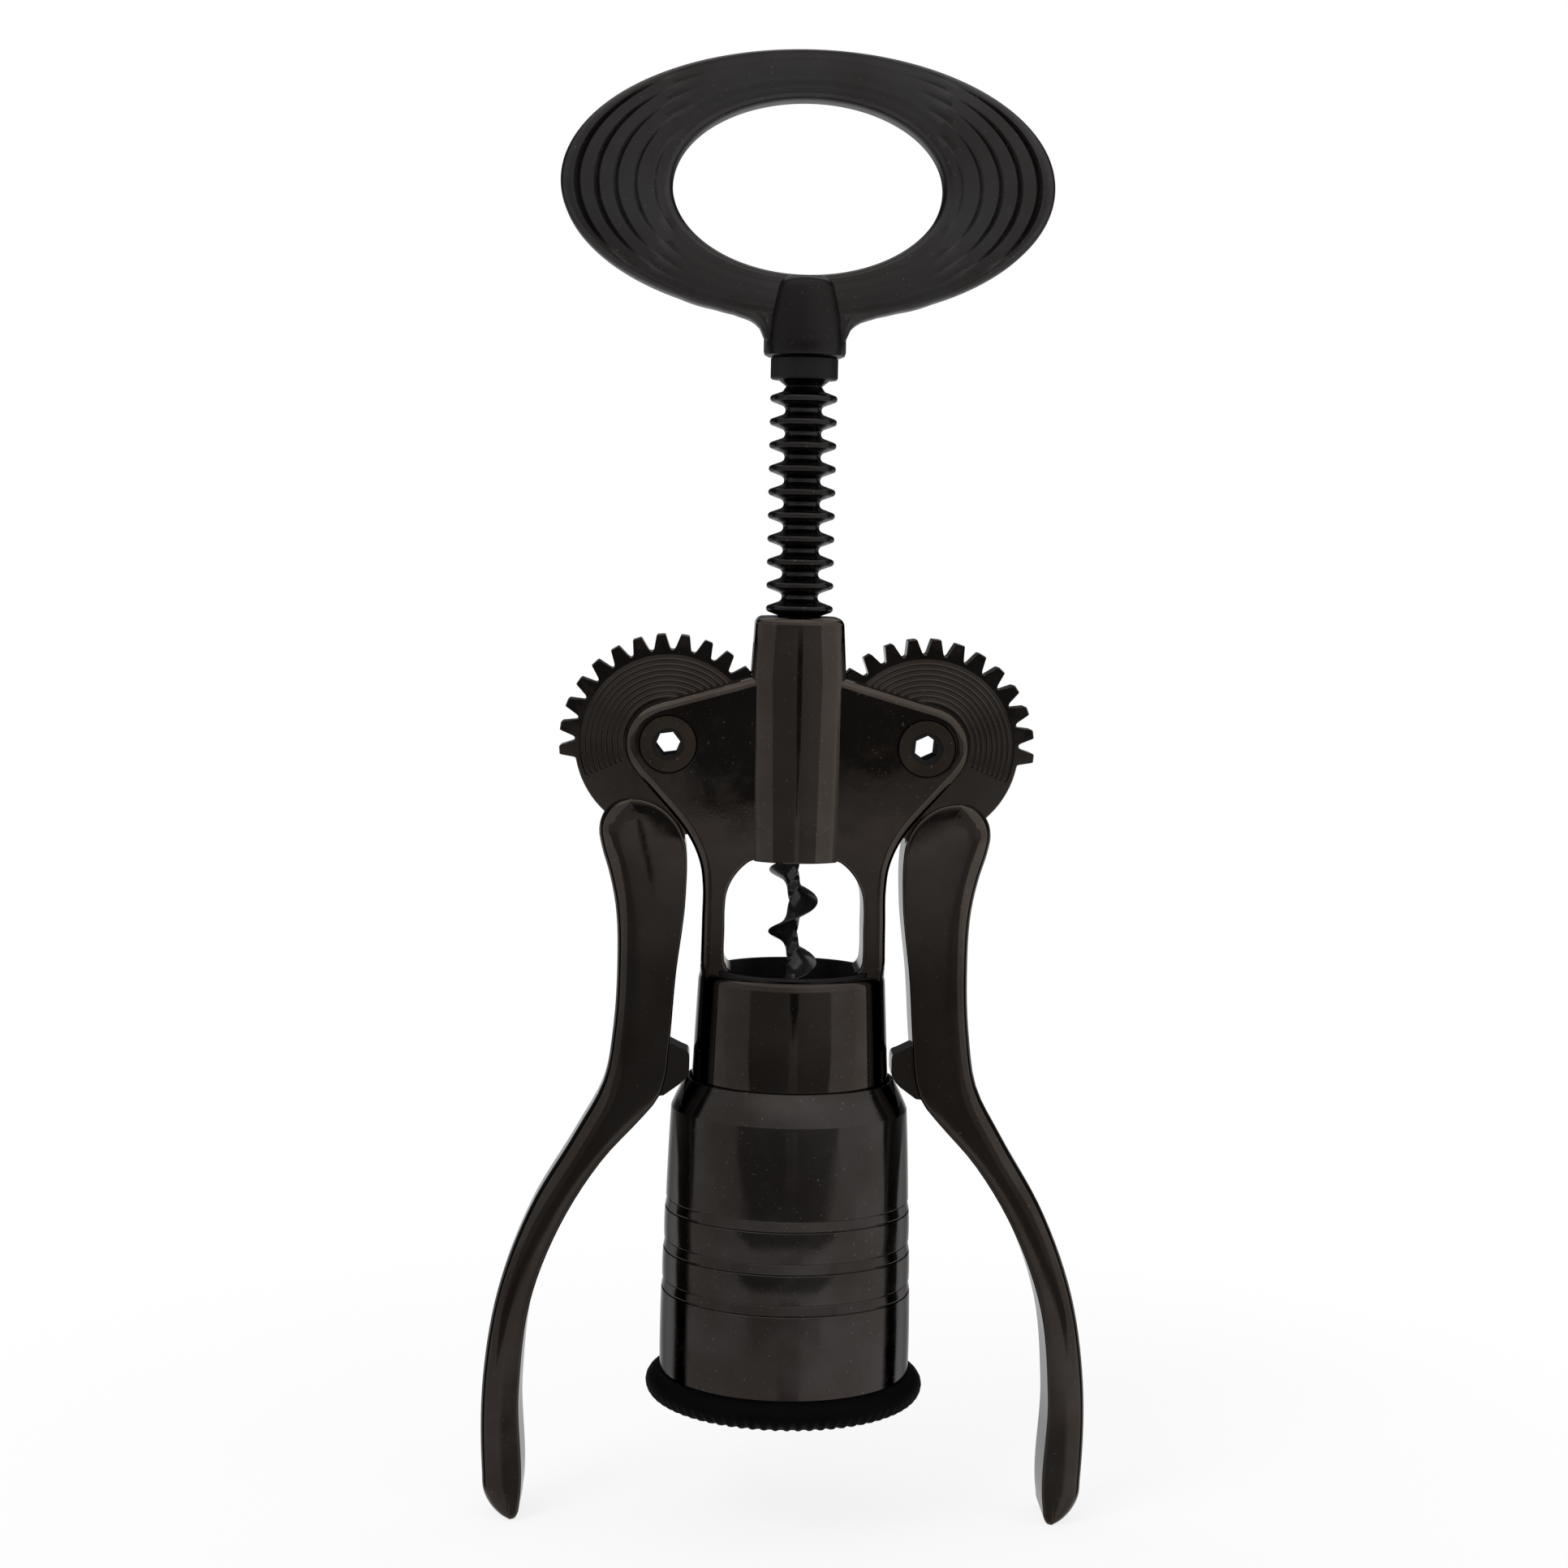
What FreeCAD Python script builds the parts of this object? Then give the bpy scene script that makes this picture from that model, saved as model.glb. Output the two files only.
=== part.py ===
import FreeCAD, Part
import math
import os

# A wing corkscrew for the bar or kitchen, in millimetres and +Z up. The origin is on the spindle axis
# at the bottom rim of the bell, X runs from the left lever to the right one, and the front is -Y.
# The levers hang down and the spindle stands at the top of its stroke.

V = FreeCAD.Vector
NEAR = 1e-4                     # closer than this counts as the same place

# ---- driving dimensions ------------------------------------------------------------------------

# rack and gears: a rack turned on the spindle, and a toothed sector on each lever
MODULE = 1.0
GEAR_TEETH = 28                 # as if the sector were a whole gear
PRESSURE_ANGLE = math.radians(20)
RACK_PITCH_R = 3.45             # from the spindle's axis to the rack's pitch line
RACK_TIP = 1.1                  # the rings stand this far above the pitch line
GEAR_TIP = 0.75                 # and the gear's teeth this far above theirs
ROOT_GAP = 0.25                 # from a tooth's tip to the opposite root
BACKLASH = 0.16
GEAR_WIDTH = 5.0
TOOTH_IN = 0.4                  # a tooth's foot, inside the sector's disc
TO_SPINDLE = 180                # degrees, the way from the right-hand pivot to the spindle
SECTOR_START = -15.0            # degrees of the sector's ends, from that line
SECTOR_END = 186.0
RACK_RINGS = 18
FACE_GROOVES = (6.56, 7.28, 8.0, 8.72, 9.44, 10.16, 10.88, 11.6)     # radii, in the sector's faces
FACE_GROOVE_W = 0.42
FACE_GROOVE_D = 0.18
FACE_GROOVE_LAP = 8.0           # degrees that they run past the first and the last tooth
TRAVEL = 31.5                   # of the spindle, until the collar stops on the column
STOP_GAP = 0.35                 # left between them there

# bell: the outer sleeve, from the bottom up
SLEEVE_BOTTOM_Z = 0.5
SLEEVE_WALL = 1.2               # at the bottom, round the liner
GROOVE_Z = (24.0, 18.3, 12.8)
GROOVE_H = 1.45
GROOVE_D = 0.35
GROOVE_STEP = 0.16              # each band below a groove stands this much further out
GROOVE_LOW = 0.05               # and its top edge this much further in than its bottom
SHOULDER_Z = 37.2
SHOULDER_IN = 1.0               # narrower there than at the bottom
LIP_RISE = 4.1
LIP_T = 0.85
LIP_EDGE = 0.4
LIP_FLARE = 0.3                 # the sleeve's bore opens this much at the lip
FIT_GAP = 0.05                  # between pieces that are pushed together

# bell: the liner with the seat for the bottle, and the ring
BOTTLE_R = 15.2                 # bore for the mouth of the bottle
SEAT_T = 4.0                    # from the seat up to the barrel's end
SEAT_SLOPE = 2.2                # height over which the liner narrows into the barrel
LINER_WALL = 0.75
LINER_RIM = 0.35                # the liner's rim above the barrel
LINER_EDGE = 0.25
LINER_UP = 1.2                  # the liner's mouth, above the ring's bottom
RING_BOTTOM_Z = -3.3
RING_WIDEST_Z = -1.0
RING_PROUD = 1.9                # wider than the sleeve
RING_TOP_PROUD = 0.7
RING_EDGE = 0.9

# frame casting: barrel, window and column
BARREL_TOP_R = 12.7
BARREL_FLARE = 0.75             # wider at the lip than at the top
BARREL_WALL = 1.55              # at the top
BARREL_SHOWN = 15.6             # height above the lip
BARREL_IN_BELL = 13.3           # and below it
BARREL_EDGE = 0.4
BARREL_EDGE_H = 0.9             # height of that edge's slope
WINDOW_H = 14.1                 # from the barrel's top to the column's end
LEG_W = 3.33
LEG_IN = 0.25                   # the legs' outside, in from the barrel's at its top
LEG_ROUND_H = 3.2               # the barrel's roundness runs out into the legs over this height
LEG_CORNER_OUT = 0.85           # where the leg's square corners are, out from the barrel's top
FOOT_SINK = 1.5                 # the legs' feet in the barrel's wall
FOOT_IN = 0.05
ARCH_R = 6.84
ARCH_LAP = 0.24                 # the arch ends inside the column's lower corner
COLUMN_DROP = 16.0              # from the pivots down to the column's end
COLUMN_RISE = 17.4              # and up to its top
COLUMN_DEPTH_R = 7.3            # radius of its front and back
COLUMN_TOP_HALF = 6.4           # half width between its flat sides, at the ears' height
COLUMN_BOTTOM_HALF = 5.6
COLUMN_TAPER = 0.5              # the sides lean in this far above the ears
COLUMN_EDGE_R = 1.1
BORE_GAP = 0.1

# frame casting: the ears and the slot for the gears
EAR_T = 2.25
EAR_R = 5.8
EAR_RISE = 9.1                  # the ear's top edge meets the column this far above the pivots
EAR_ROOT = (-1.5, 0.5)          # that edge's start, inside the column's side
EAR_EDGE_R = 1.0
KNEE = (-0.65, -9.4)            # outer corner under the ear, from the pivot
LEG_BEND_DROP = 19.0            # below the pivots the legs run straight
GEAR_CLEAR = 0.35
SLOT_GAP = 0.15
SLOT_RISE = 13.8
SLOT_DROP = 10.0

# spindle, worm and the collar under the handle
SPINDLE_END = 6.7               # from the lowest ring to the spindle's lower end
SPINDLE_END_R = 4.2
SPINDLE_PLAIN = 3.2             # length at that radius
SPINDLE_EDGE = 0.4
RING_TO_COLLAR = 2.55
NECK_R = 2.6
NECK_CONE_R = 3.6
NECK_CONE_H = 0.9
NECK_IN_HUB = 4.6
NECK_EDGE = 0.5
COLLAR_R = 4.55
COLLAR_HEIGHT = 2.95
COLLAR_GAP = 0.08
COLLAR_EDGE = 0.2
WORM_R = 3.37                   # outside radius of the coil
WORM_PITCH = 8.5
WORM_LENGTH = 46.6
WORM_CORE = 0.57                # the coil's flat inner side, past the axis
WORM_BACK = 1.05                # half width of that flat side, and of the outer edge
WORM_NOSE = 0.34
WORM_POINT = 0.08               # size of the tip, as a share of the section
WORM_TAPER = 7.5                # length over which it grows
WORM_STEPS = 14                 # levels in one turn
WORM_PEAK_DROP = 3.7            # below the spindle, where the wire points to the left
WORM_SHANK_R = 1.5
WORM_SHANK = 17.0               # length of the shank inside the spindle
SHANK_GAP = 0.03
END_GAP = 0.05
PIN_R = 0.8
PIN_UP = 1.9                    # cross pin, above the spindle's lower end
PIN_SHORT = 0.3

# handle: an oval loop on a tapered hub
HANDLE_W = 66.2
HANDLE_H = 35.6
HANDLE_T = 6.0
HANDLE_EDGE_R = 1.7
RIM_SIDE = 14.95                # width of the loop at its sides, bottom and top
RIM_LOW = 5.9
RIM_HIGH = 6.7
LOOP_UP = 5.05                  # the loop's bottom, above the collar
HUB_R = 5.55
HUB_TOP_R = 3.9
HUB_DOME = 1.2
HUB_EDGE = 0.5
HUB_UNDER = 0.55                # from the hub's shoulder up to the opening
SOCKET_GAP = 0.02
GUSSET_W = 19.0
GUSSET_DROP = 3.6
GUSSET_RISE = 1.4
GUSSET_LAP = 0.4                # the gusset's foot, inside the hub
GUSSET_BEND = (0.9, 2.5)        # middle of its hollow side, from its foot

# pivot screws and sleeve nuts, through the ears and the levers
HEAD_R = 3.95
HEAD_T = 1.25
HEAD_EDGE = 0.2
HEAD_SINK = 0.05
HEAD_GAP = 0.15
RECESS_R = 2.17
RECESS_DEPTH = 0.8
HEX_FLATS = 3.0
SCREW_R = 2.3
SCREW_SHORT = 1.2               # the screw's end, before the nut's head
NUT_R = 3.1
NUT_BORE_SHORT = 1.0
HUB_BORE_GAP = 0.08
HEX_TURN = {-1: 8.0, 1: 25.0}   # degrees, left and right

# right-hand lever, with its points from its pivot: the toothed plate goes on into a thicker arm
LEVER_LENGTH = 107.2            # from the pivot down to the tip
ARM_DRAWN = 107.2               # the length for which the arm's points below are given
ARM_T = 9.4
ARM_EDGE_R = 1.3
CROWN = (4.85, -7.9)            # highest point of the arm's rounded shoulder
CROWN_IN_R = 7.6
CROWN_OUT_R = 4.25
ARM_OUTER = ((6.85, -21.0), (6.42, -31.0), (6.9, -39.5), (7.95, -46.0), (11.75, -53.4), (17.45, -63.2),
             (22.05, -75.5), (23.95, -86.0), (24.1, -101.0))
ARM_TIP = ((23.15, -104.9), (20.45, -107.2))
ARM_HEEL = ((19.2, -106.7), (18.7, -105.3))
ARM_INNER = ((18.85, -89.0), (17.45, -76.5), (13.55, -66.0), (7.95, -56.9), (1.95, -50.0), (-0.25, -42.5),
             (-1.55, -31.5), (-2.7, -21.0))
WEB = ((-2.55, -11.5), (-2.55, -14.0), (6.55, -17.0), (8.55, -10.0), (2.55, -7.0))
NUB_GAP = 0.4                   # from the stop's flat to the barrel's widest
NUB_UP = 1.1                    # the flat's lower end, above the bell's lip
NUB_NOSE = ((1.05, 3.6), (0.25, 3.2), (0.0, 2.5), (0.0, 0.0), (0.6, -1.3), (1.5, -2.4))     # from there
NUB_ROOT = ((2.15, -50.4), (5.55, -47.0), (1.55, -39.4))    # inside the arm, from the pivot

# ---- sizes that follow from them ---------------------------------------------------------------

RING_PITCH = math.pi * MODULE
PITCH_R = MODULE * GEAR_TEETH / 2
TIP_R = PITCH_R + GEAR_TIP
PIVOT_X = RACK_PITCH_R + PITCH_R
RACK_R = RACK_PITCH_R + RACK_TIP
RACK_ROOT_R = RACK_PITCH_R - GEAR_TIP - ROOT_GAP
ROOT_R = PITCH_R - RACK_TIP - ROOT_GAP
TOOTH_ON_PITCH = (RING_PITCH - BACKLASH) / 2

BARREL_R = BARREL_TOP_R + BARREL_FLARE
BARREL_BORE_R = BARREL_TOP_R - BARREL_WALL
WINDOW_HALF = BARREL_TOP_R - LEG_W
LINER_R = BOTTLE_R + LINER_WALL
SLEEVE_IN_R = LINER_R + FIT_GAP
SLEEVE_R = SLEEVE_IN_R + SLEEVE_WALL
RING_R = SLEEVE_R + RING_PROUD

LIP_Z = SHOULDER_Z + LIP_RISE
BARREL_BOTTOM_Z = LIP_Z - BARREL_IN_BELL
BARREL_TOP_Z = LIP_Z + BARREL_SHOWN
COLUMN_BOTTOM_Z = BARREL_TOP_Z + WINDOW_H
PIVOT_Z = COLUMN_BOTTOM_Z + COLUMN_DROP
COLUMN_TOP_Z = PIVOT_Z + COLUMN_RISE
COLLAR_BOTTOM_Z = COLUMN_TOP_Z + TRAVEL + STOP_GAP
COLLAR_TOP_Z = COLLAR_BOTTOM_Z + COLLAR_HEIGHT
TOP_RING_Z = COLLAR_BOTTOM_Z - RING_TO_COLLAR
LOW_RING_Z = TOP_RING_Z - (RACK_RINGS - 1) * RING_PITCH
SPINDLE_BOTTOM_Z = LOW_RING_Z - SPINDLE_END
LOOP_BOTTOM_Z = COLLAR_TOP_Z + LOOP_UP
OPENING_BOTTOM_Z = LOOP_BOTTOM_Z + RIM_LOW

SLOT_HALF = GEAR_WIDTH / 2 + SLOT_GAP
EAR_FACE = SLOT_HALF + EAR_T
HEAD_FACE = EAR_FACE - HEAD_SINK
HEAD_BACK = HEAD_FACE - HEAD_T
# degrees from the line to the spindle to the gear tooth that stands in a gap between two rings
gaps_up = math.floor((TOP_RING_Z - PIVOT_Z) / RING_PITCH - 0.5) + 0.5
GEAR_PHASE = math.degrees((TOP_RING_Z - gaps_up * RING_PITCH - PIVOT_Z) / PITCH_R)


# ---- drawing helpers ---------------------------------------------------------------------------

def outline(start, *legs):
    """A closed wire in the XZ plane. One point makes a line, two an arc, and more a smooth curve."""
    first = V(start[0], 0, start[1])
    here = first
    edges = []
    for leg in legs:
        points = [V(x, 0, z) for x, z in leg]
        if len(points) == 1:
            edges.append(Part.makeLine(here, points[0]))
        elif len(points) == 2:
            edges.append(Part.Arc(here, points[0], points[1]).toShape())
        else:
            curve = Part.BSplineCurve()
            curve.interpolate([here] + points)
            edges.append(curve.toShape())
        here = points[-1]
    if here.distanceToPoint(first) > NEAR:
        edges.append(Part.makeLine(here, first))
    return Part.Wire(edges)


def polygon(points):
    """A closed outline with straight legs."""
    return outline(points[0], *[(point,) for point in points[1:]])


def slab(wire, thickness):
    """A plate of that outline, halved by the XZ plane."""
    face = Part.Face(wire)
    face.translate(V(0, -thickness / 2, 0))
    return face.extrude(V(0, thickness, 0))


def spun(wire):
    """A solid turned about Z from a closed outline of radius and height."""
    return Part.Face(wire).revolve(V(0, 0, 0), V(0, 0, 1), 360)


def turned(*points):
    """The same, from points joined by straight lines."""
    return spun(polygon(points))


def turned_across(*points):
    """A solid turned about Y from a closed outline of radius and depth."""
    corners = [V(r, y, 0) for r, y in points]
    wire = Part.makePolygon(corners + corners[:1])
    return Part.Face(wire).revolve(V(0, 0, 0), V(0, 1, 0), 360)


def drum(radius, y0, y1):
    """A cylinder about Y between two depths."""
    return Part.makeCylinder(radius, y1 - y0, V(0, y0, 0), V(0, 1, 0))


def at_pivot(shape, side):
    """A shape made about the origin, moved to the pivot on that side."""
    return shape.translated(V(PIVOT_X * side, 0, PIVOT_Z))


def mirrored(shape, side):
    """The right-hand shape, or its mirror image for the left side."""
    return shape if side > 0 else shape.mirror(V(0, 0, 0), V(1, 0, 0))


def rounded(shape, radius, chosen):
    """The shape with the chosen edges rounded."""
    edges = [edge for edge in shape.Edges if chosen(edge.BoundBox)]
    return shape.makeFillet(radius, edges)


def on_faces(half):
    """Chooses the edges that lie in the plane y = half or y = -half."""
    def chosen(b):
        return b.YLength < NEAR and abs(abs(b.YMax) - half) < NEAR
    return chosen


def around(centre, radius, degrees):
    angle = math.radians(degrees)
    return centre[0] + radius * math.cos(angle), centre[1] + radius * math.sin(angle)


def tangent_point(point, centre, radius, turn):
    """Where the line from the point touches the circle, on the side that turn (1 or -1) gives."""
    dx, dz = point[0] - centre[0], point[1] - centre[1]
    away = math.atan2(dz, dx) + turn * math.acos(radius / math.hypot(dx, dz))
    return around(centre, radius, math.degrees(away))


# ---- spindle -----------------------------------------------------------------------------------

def round_between_flanks(half_width):
    """Radius of the arc that closes a tooth or a gap of that half width, tangent to both its flanks."""
    return half_width * math.cos(PRESSURE_ANGLE) / (1 - math.sin(PRESSURE_ANGLE))


def rack_spindle():
    """The turned spindle: a neck for the handle, the rack's round rings, and a bored lower end."""
    slope = math.tan(PRESSURE_ANGLE)
    tip_r = round_between_flanks(TOOTH_ON_PITCH / 2 - RACK_TIP * slope)
    gap_on_pitch = (RING_PITCH - TOOTH_ON_PITCH) / 2
    root_r = round_between_flanks(gap_on_pitch - (RACK_PITCH_R - RACK_ROOT_R) * slope)
    tip_x = RACK_R - tip_r * (1 - math.sin(PRESSURE_ANGLE))
    tip_z = tip_r * math.cos(PRESSURE_ANGLE)
    root_x = RACK_ROOT_R + root_r * (1 - math.sin(PRESSURE_ANGLE))
    root_z = RING_PITCH / 2 - root_r * math.cos(PRESSURE_ANGLE)
    low_z = SPINDLE_BOTTOM_Z
    plain_top = low_z + SPINDLE_PLAIN
    shoulder_z = LOW_RING_Z - RING_PITCH / 2
    legs = [((SPINDLE_END_R - SPINDLE_EDGE, low_z),), ((SPINDLE_END_R, low_z + SPINDLE_EDGE),),
            ((SPINDLE_END_R, plain_top),), ((RACK_ROOT_R, plain_top + SPINDLE_END_R - RACK_ROOT_R),),
            ((RACK_ROOT_R, shoulder_z),)]
    for ring in range(RACK_RINGS):
        z = LOW_RING_Z + ring * RING_PITCH
        if ring == 0:
            legs.append(((root_x, z - root_z),))
        else:
            legs.append(((RACK_ROOT_R, z - RING_PITCH / 2), (root_x, z - root_z)))
        legs += [((tip_x, z - tip_z),), ((RACK_R, z), (tip_x, z + tip_z)), ((root_x, z + root_z),)]
    neck_top = COLLAR_TOP_Z + NECK_IN_HUB
    legs += [((RACK_ROOT_R, TOP_RING_Z + RING_PITCH / 2),), ((RACK_ROOT_R, COLLAR_BOTTOM_Z - NECK_CONE_H),),
             ((NECK_CONE_R, COLLAR_BOTTOM_Z),), ((NECK_R, COLLAR_BOTTOM_Z),),
             ((NECK_R, neck_top - NECK_EDGE),), ((NECK_R - NECK_EDGE, neck_top),), ((0, neck_top),)]
    bore = Part.makeCylinder(WORM_SHANK_R, WORM_SHANK, V(0, 0, low_z))
    return spun(outline((0, low_z), *legs)).cut([bore, pin_rod(3 * SPINDLE_END_R)])


def pin_rod(length):
    """A rod across the spindle's lower end."""
    start = V(0, -length / 2, SPINDLE_BOTTOM_Z + PIN_UP)
    return Part.makeCylinder(PIN_R, length, start, V(0, 1, 0))


def worm_cross_pin():
    """The pin that holds the worm in the spindle."""
    return pin_rod(2 * SPINDLE_END_R - PIN_SHORT)


def worm_section(z, tip_z):
    """The coil cut level at a height, as points: a blunt nose outside and a flat inside the axis."""
    grown = min(1.0, WORM_POINT + (1 - WORM_POINT) * (z - tip_z) / WORM_TAPER)
    peak_z = SPINDLE_BOTTOM_Z - WORM_PEAK_DROP
    turn = math.pi + 2 * math.pi * (z - peak_z) / WORM_PITCH
    side = [(WORM_R, WORM_NOSE), ((WORM_R - WORM_CORE) / 2, (WORM_NOSE + WORM_BACK) / 2),
            (0, WORM_BACK), (-WORM_CORE, 0.9 * WORM_BACK)]
    points = []
    for x, y in side + [(x, -y) for x, y in reversed(side)]:
        along = x * math.cos(turn) - y * math.sin(turn)
        across = x * math.sin(turn) + y * math.cos(turn)
        points.append(V(grown * along, grown * across, z))
    return points


def worm():
    """The coiled worm, ground to a point, in flat facets from one level section to the next."""
    top_z = SPINDLE_BOTTOM_Z - END_GAP
    tip_z = SPINDLE_BOTTOM_Z - WORM_LENGTH
    steps = math.ceil((top_z - tip_z) / WORM_PITCH * WORM_STEPS)
    levels = [worm_section(tip_z + (top_z - tip_z) * n / steps, tip_z) for n in range(steps + 1)]
    faces = [Part.Face(Part.makePolygon(level + level[:1])) for level in (levels[0], levels[-1])]
    for low, high in zip(levels, levels[1:]):
        for n in range(len(low)):
            a, b, c, d = low[n - 1], low[n], high[n], high[n - 1]
            faces.append(Part.Face(Part.makePolygon([a, b, c, a])))
            faces.append(Part.Face(Part.makePolygon([a, c, d, a])))
    coil = Part.makeSolid(Part.makeShell(faces))
    shank = Part.makeCylinder(WORM_SHANK_R - SHANK_GAP, WORM_SHANK - PIN_SHORT, V(0, 0, top_z))
    return coil.fuse(shank).cut(pin_rod(4 * WORM_R))


def stop_collar():
    """The loose collar between the handle and the rack, which stops on the column."""
    inner = NECK_R + COLLAR_GAP
    edge = COLLAR_EDGE
    return turned((inner, COLLAR_BOTTOM_Z), (COLLAR_R - edge, COLLAR_BOTTOM_Z),
                  (COLLAR_R, COLLAR_BOTTOM_Z + edge), (COLLAR_R, COLLAR_TOP_Z - edge),
                  (COLLAR_R - edge, COLLAR_TOP_Z), (inner, COLLAR_TOP_Z))


def oval(width, height, bottom_z):
    """An upright ellipse as a wire, standing on a height."""
    middle_z = bottom_z + height / 2
    side = V(width / 2, 0, middle_z)
    top = V(0, 0, middle_z + height / 2)
    return Part.Wire(Part.Ellipse(side, top, V(0, 0, middle_z)).toShape())


def gusset():
    """The thin plate that widens from the hub into the loop."""
    foot = HUB_R - GUSSET_LAP
    low = LOOP_BOTTOM_Z - GUSSET_DROP
    high = LOOP_BOTTOM_Z + GUSSET_RISE
    bend_x, bend_z = HUB_R + GUSSET_BEND[0], low + GUSSET_BEND[1]
    wire = outline((-foot, low), ((foot, low),), ((bend_x, bend_z), (GUSSET_W / 2, high)),
                   ((-GUSSET_W / 2, high),), ((-bend_x, bend_z), (-foot, low)))
    return slab(wire, HANDLE_T - 2 * HANDLE_EDGE_R)


def handle():
    """The oval loop, its gusset and the hub that takes the spindle's neck."""
    opening = oval(HANDLE_W - 2 * RIM_SIDE, HANDLE_H - RIM_LOW - RIM_HIGH, OPENING_BOTTOM_Z)
    loop = slab(oval(HANDLE_W, HANDLE_H, LOOP_BOTTOM_Z), HANDLE_T).cut(slab(opening, HANDLE_T))
    loop = rounded(loop, HANDLE_EDGE_R, on_faces(HANDLE_T / 2))
    hub_top_z = OPENING_BOTTOM_Z - HUB_UNDER
    hub = turned((0, COLLAR_TOP_Z), (HUB_R - HUB_EDGE, COLLAR_TOP_Z), (HUB_R, COLLAR_TOP_Z + HUB_EDGE),
                 (HUB_TOP_R, hub_top_z), (0.6 * HUB_TOP_R, hub_top_z + 0.7 * HUB_DOME),
                 (0, hub_top_z + HUB_DOME))
    socket = Part.makeCylinder(NECK_R + SOCKET_GAP, NECK_IN_HUB, V(0, 0, COLLAR_TOP_Z))
    return loop.fuse(gusset().fuse(hub).cut(socket))


# ---- frame -------------------------------------------------------------------------------------

def column():
    """The guide column: round at front and back, and flat at the sides."""
    round_body = Part.makeCylinder(COLUMN_DEPTH_R, COLUMN_TOP_Z - COLUMN_BOTTOM_Z, V(0, 0, COLUMN_BOTTOM_Z))
    widths = ((COLUMN_BOTTOM_HALF, COLUMN_BOTTOM_Z), (COLUMN_TOP_HALF, PIVOT_Z + EAR_RISE),
              (COLUMN_TOP_HALF - COLUMN_TAPER, COLUMN_TOP_Z))
    sides = polygon(widths + tuple((-x, z) for x, z in reversed(widths)))
    body = round_body.common(slab(sides, 3 * COLUMN_DEPTH_R))
    return rounded(body, COLUMN_EDGE_R, lambda b: b.ZMin > COLUMN_TOP_Z - COLUMN_EDGE_R)


def ears_and_legs():
    """One thick plate with the outline of the ears and legs, round the window."""
    pivot = (PIVOT_X, PIVOT_Z)
    root = (COLUMN_TOP_HALF + EAR_ROOT[0], PIVOT_Z + EAR_RISE + EAR_ROOT[1])
    knee = (PIVOT_X + KNEE[0], PIVOT_Z + KNEE[1])
    leg_top = (BARREL_TOP_R - LEG_IN, PIVOT_Z - LEG_BEND_DROP)
    foot_z = BARREL_TOP_Z - FOOT_SINK
    # the arc from the knee that ends upright at the top of the leg
    run, rise = knee[0] - leg_top[0], knee[1] - leg_top[1]
    bend_r = (run * run + rise * rise) / (2 * run)
    swing = math.degrees(math.atan2(rise, bend_r - run))
    bend = around((leg_top[0] + bend_r, leg_top[1]), bend_r, 180 - swing / 2)
    # the arch over the window, from its upright side to the column's lower corner
    arch_x = WINDOW_HALF - ARCH_R
    crown_turn = math.acos((COLUMN_BOTTOM_HALF + ARCH_LAP / 2 - arch_x) / ARCH_R)
    arch = (arch_x, COLUMN_BOTTOM_Z + ARCH_LAP - ARCH_R * math.sin(crown_turn))
    crown = around(arch, ARCH_R, math.degrees(crown_turn))
    half = outline((0, root[1]), (root,), (tangent_point(root, pivot, EAR_R, -1),),
                   (around(pivot, EAR_R, 0), tangent_point(knee, pivot, EAR_R, 1)), (knee,),
                   (bend, leg_top), ((BARREL_TOP_R - FOOT_IN, foot_z),), ((WINDOW_HALF, foot_z),),
                   ((WINDOW_HALF, arch[1]),), (around(arch, ARCH_R, math.degrees(crown_turn / 2)), crown),
                   ((0, crown[1]),))
    plate = slab(half, 2 * EAR_FACE)
    plate = plate.fuse(mirrored(plate, -1)).removeSplitter()
    face_edge = on_faces(EAR_FACE)
    plate = rounded(plate, EAR_EDGE_R,
                    lambda b: face_edge(b) and b.ZLength > EAR_EDGE_R and b.XMin * b.XMax > 0)
    wide = PIVOT_X + 2 * EAR_R
    round_feet = turned((0, foot_z), (BARREL_TOP_R, foot_z), (BARREL_TOP_R, BARREL_TOP_Z),
                        (BARREL_TOP_R + LEG_CORNER_OUT, BARREL_TOP_Z + LEG_ROUND_H),
                        (wide, BARREL_TOP_Z + LEG_ROUND_H), (wide, COLUMN_TOP_Z), (0, COLUMN_TOP_Z))
    return plate.common(round_feet)


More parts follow.
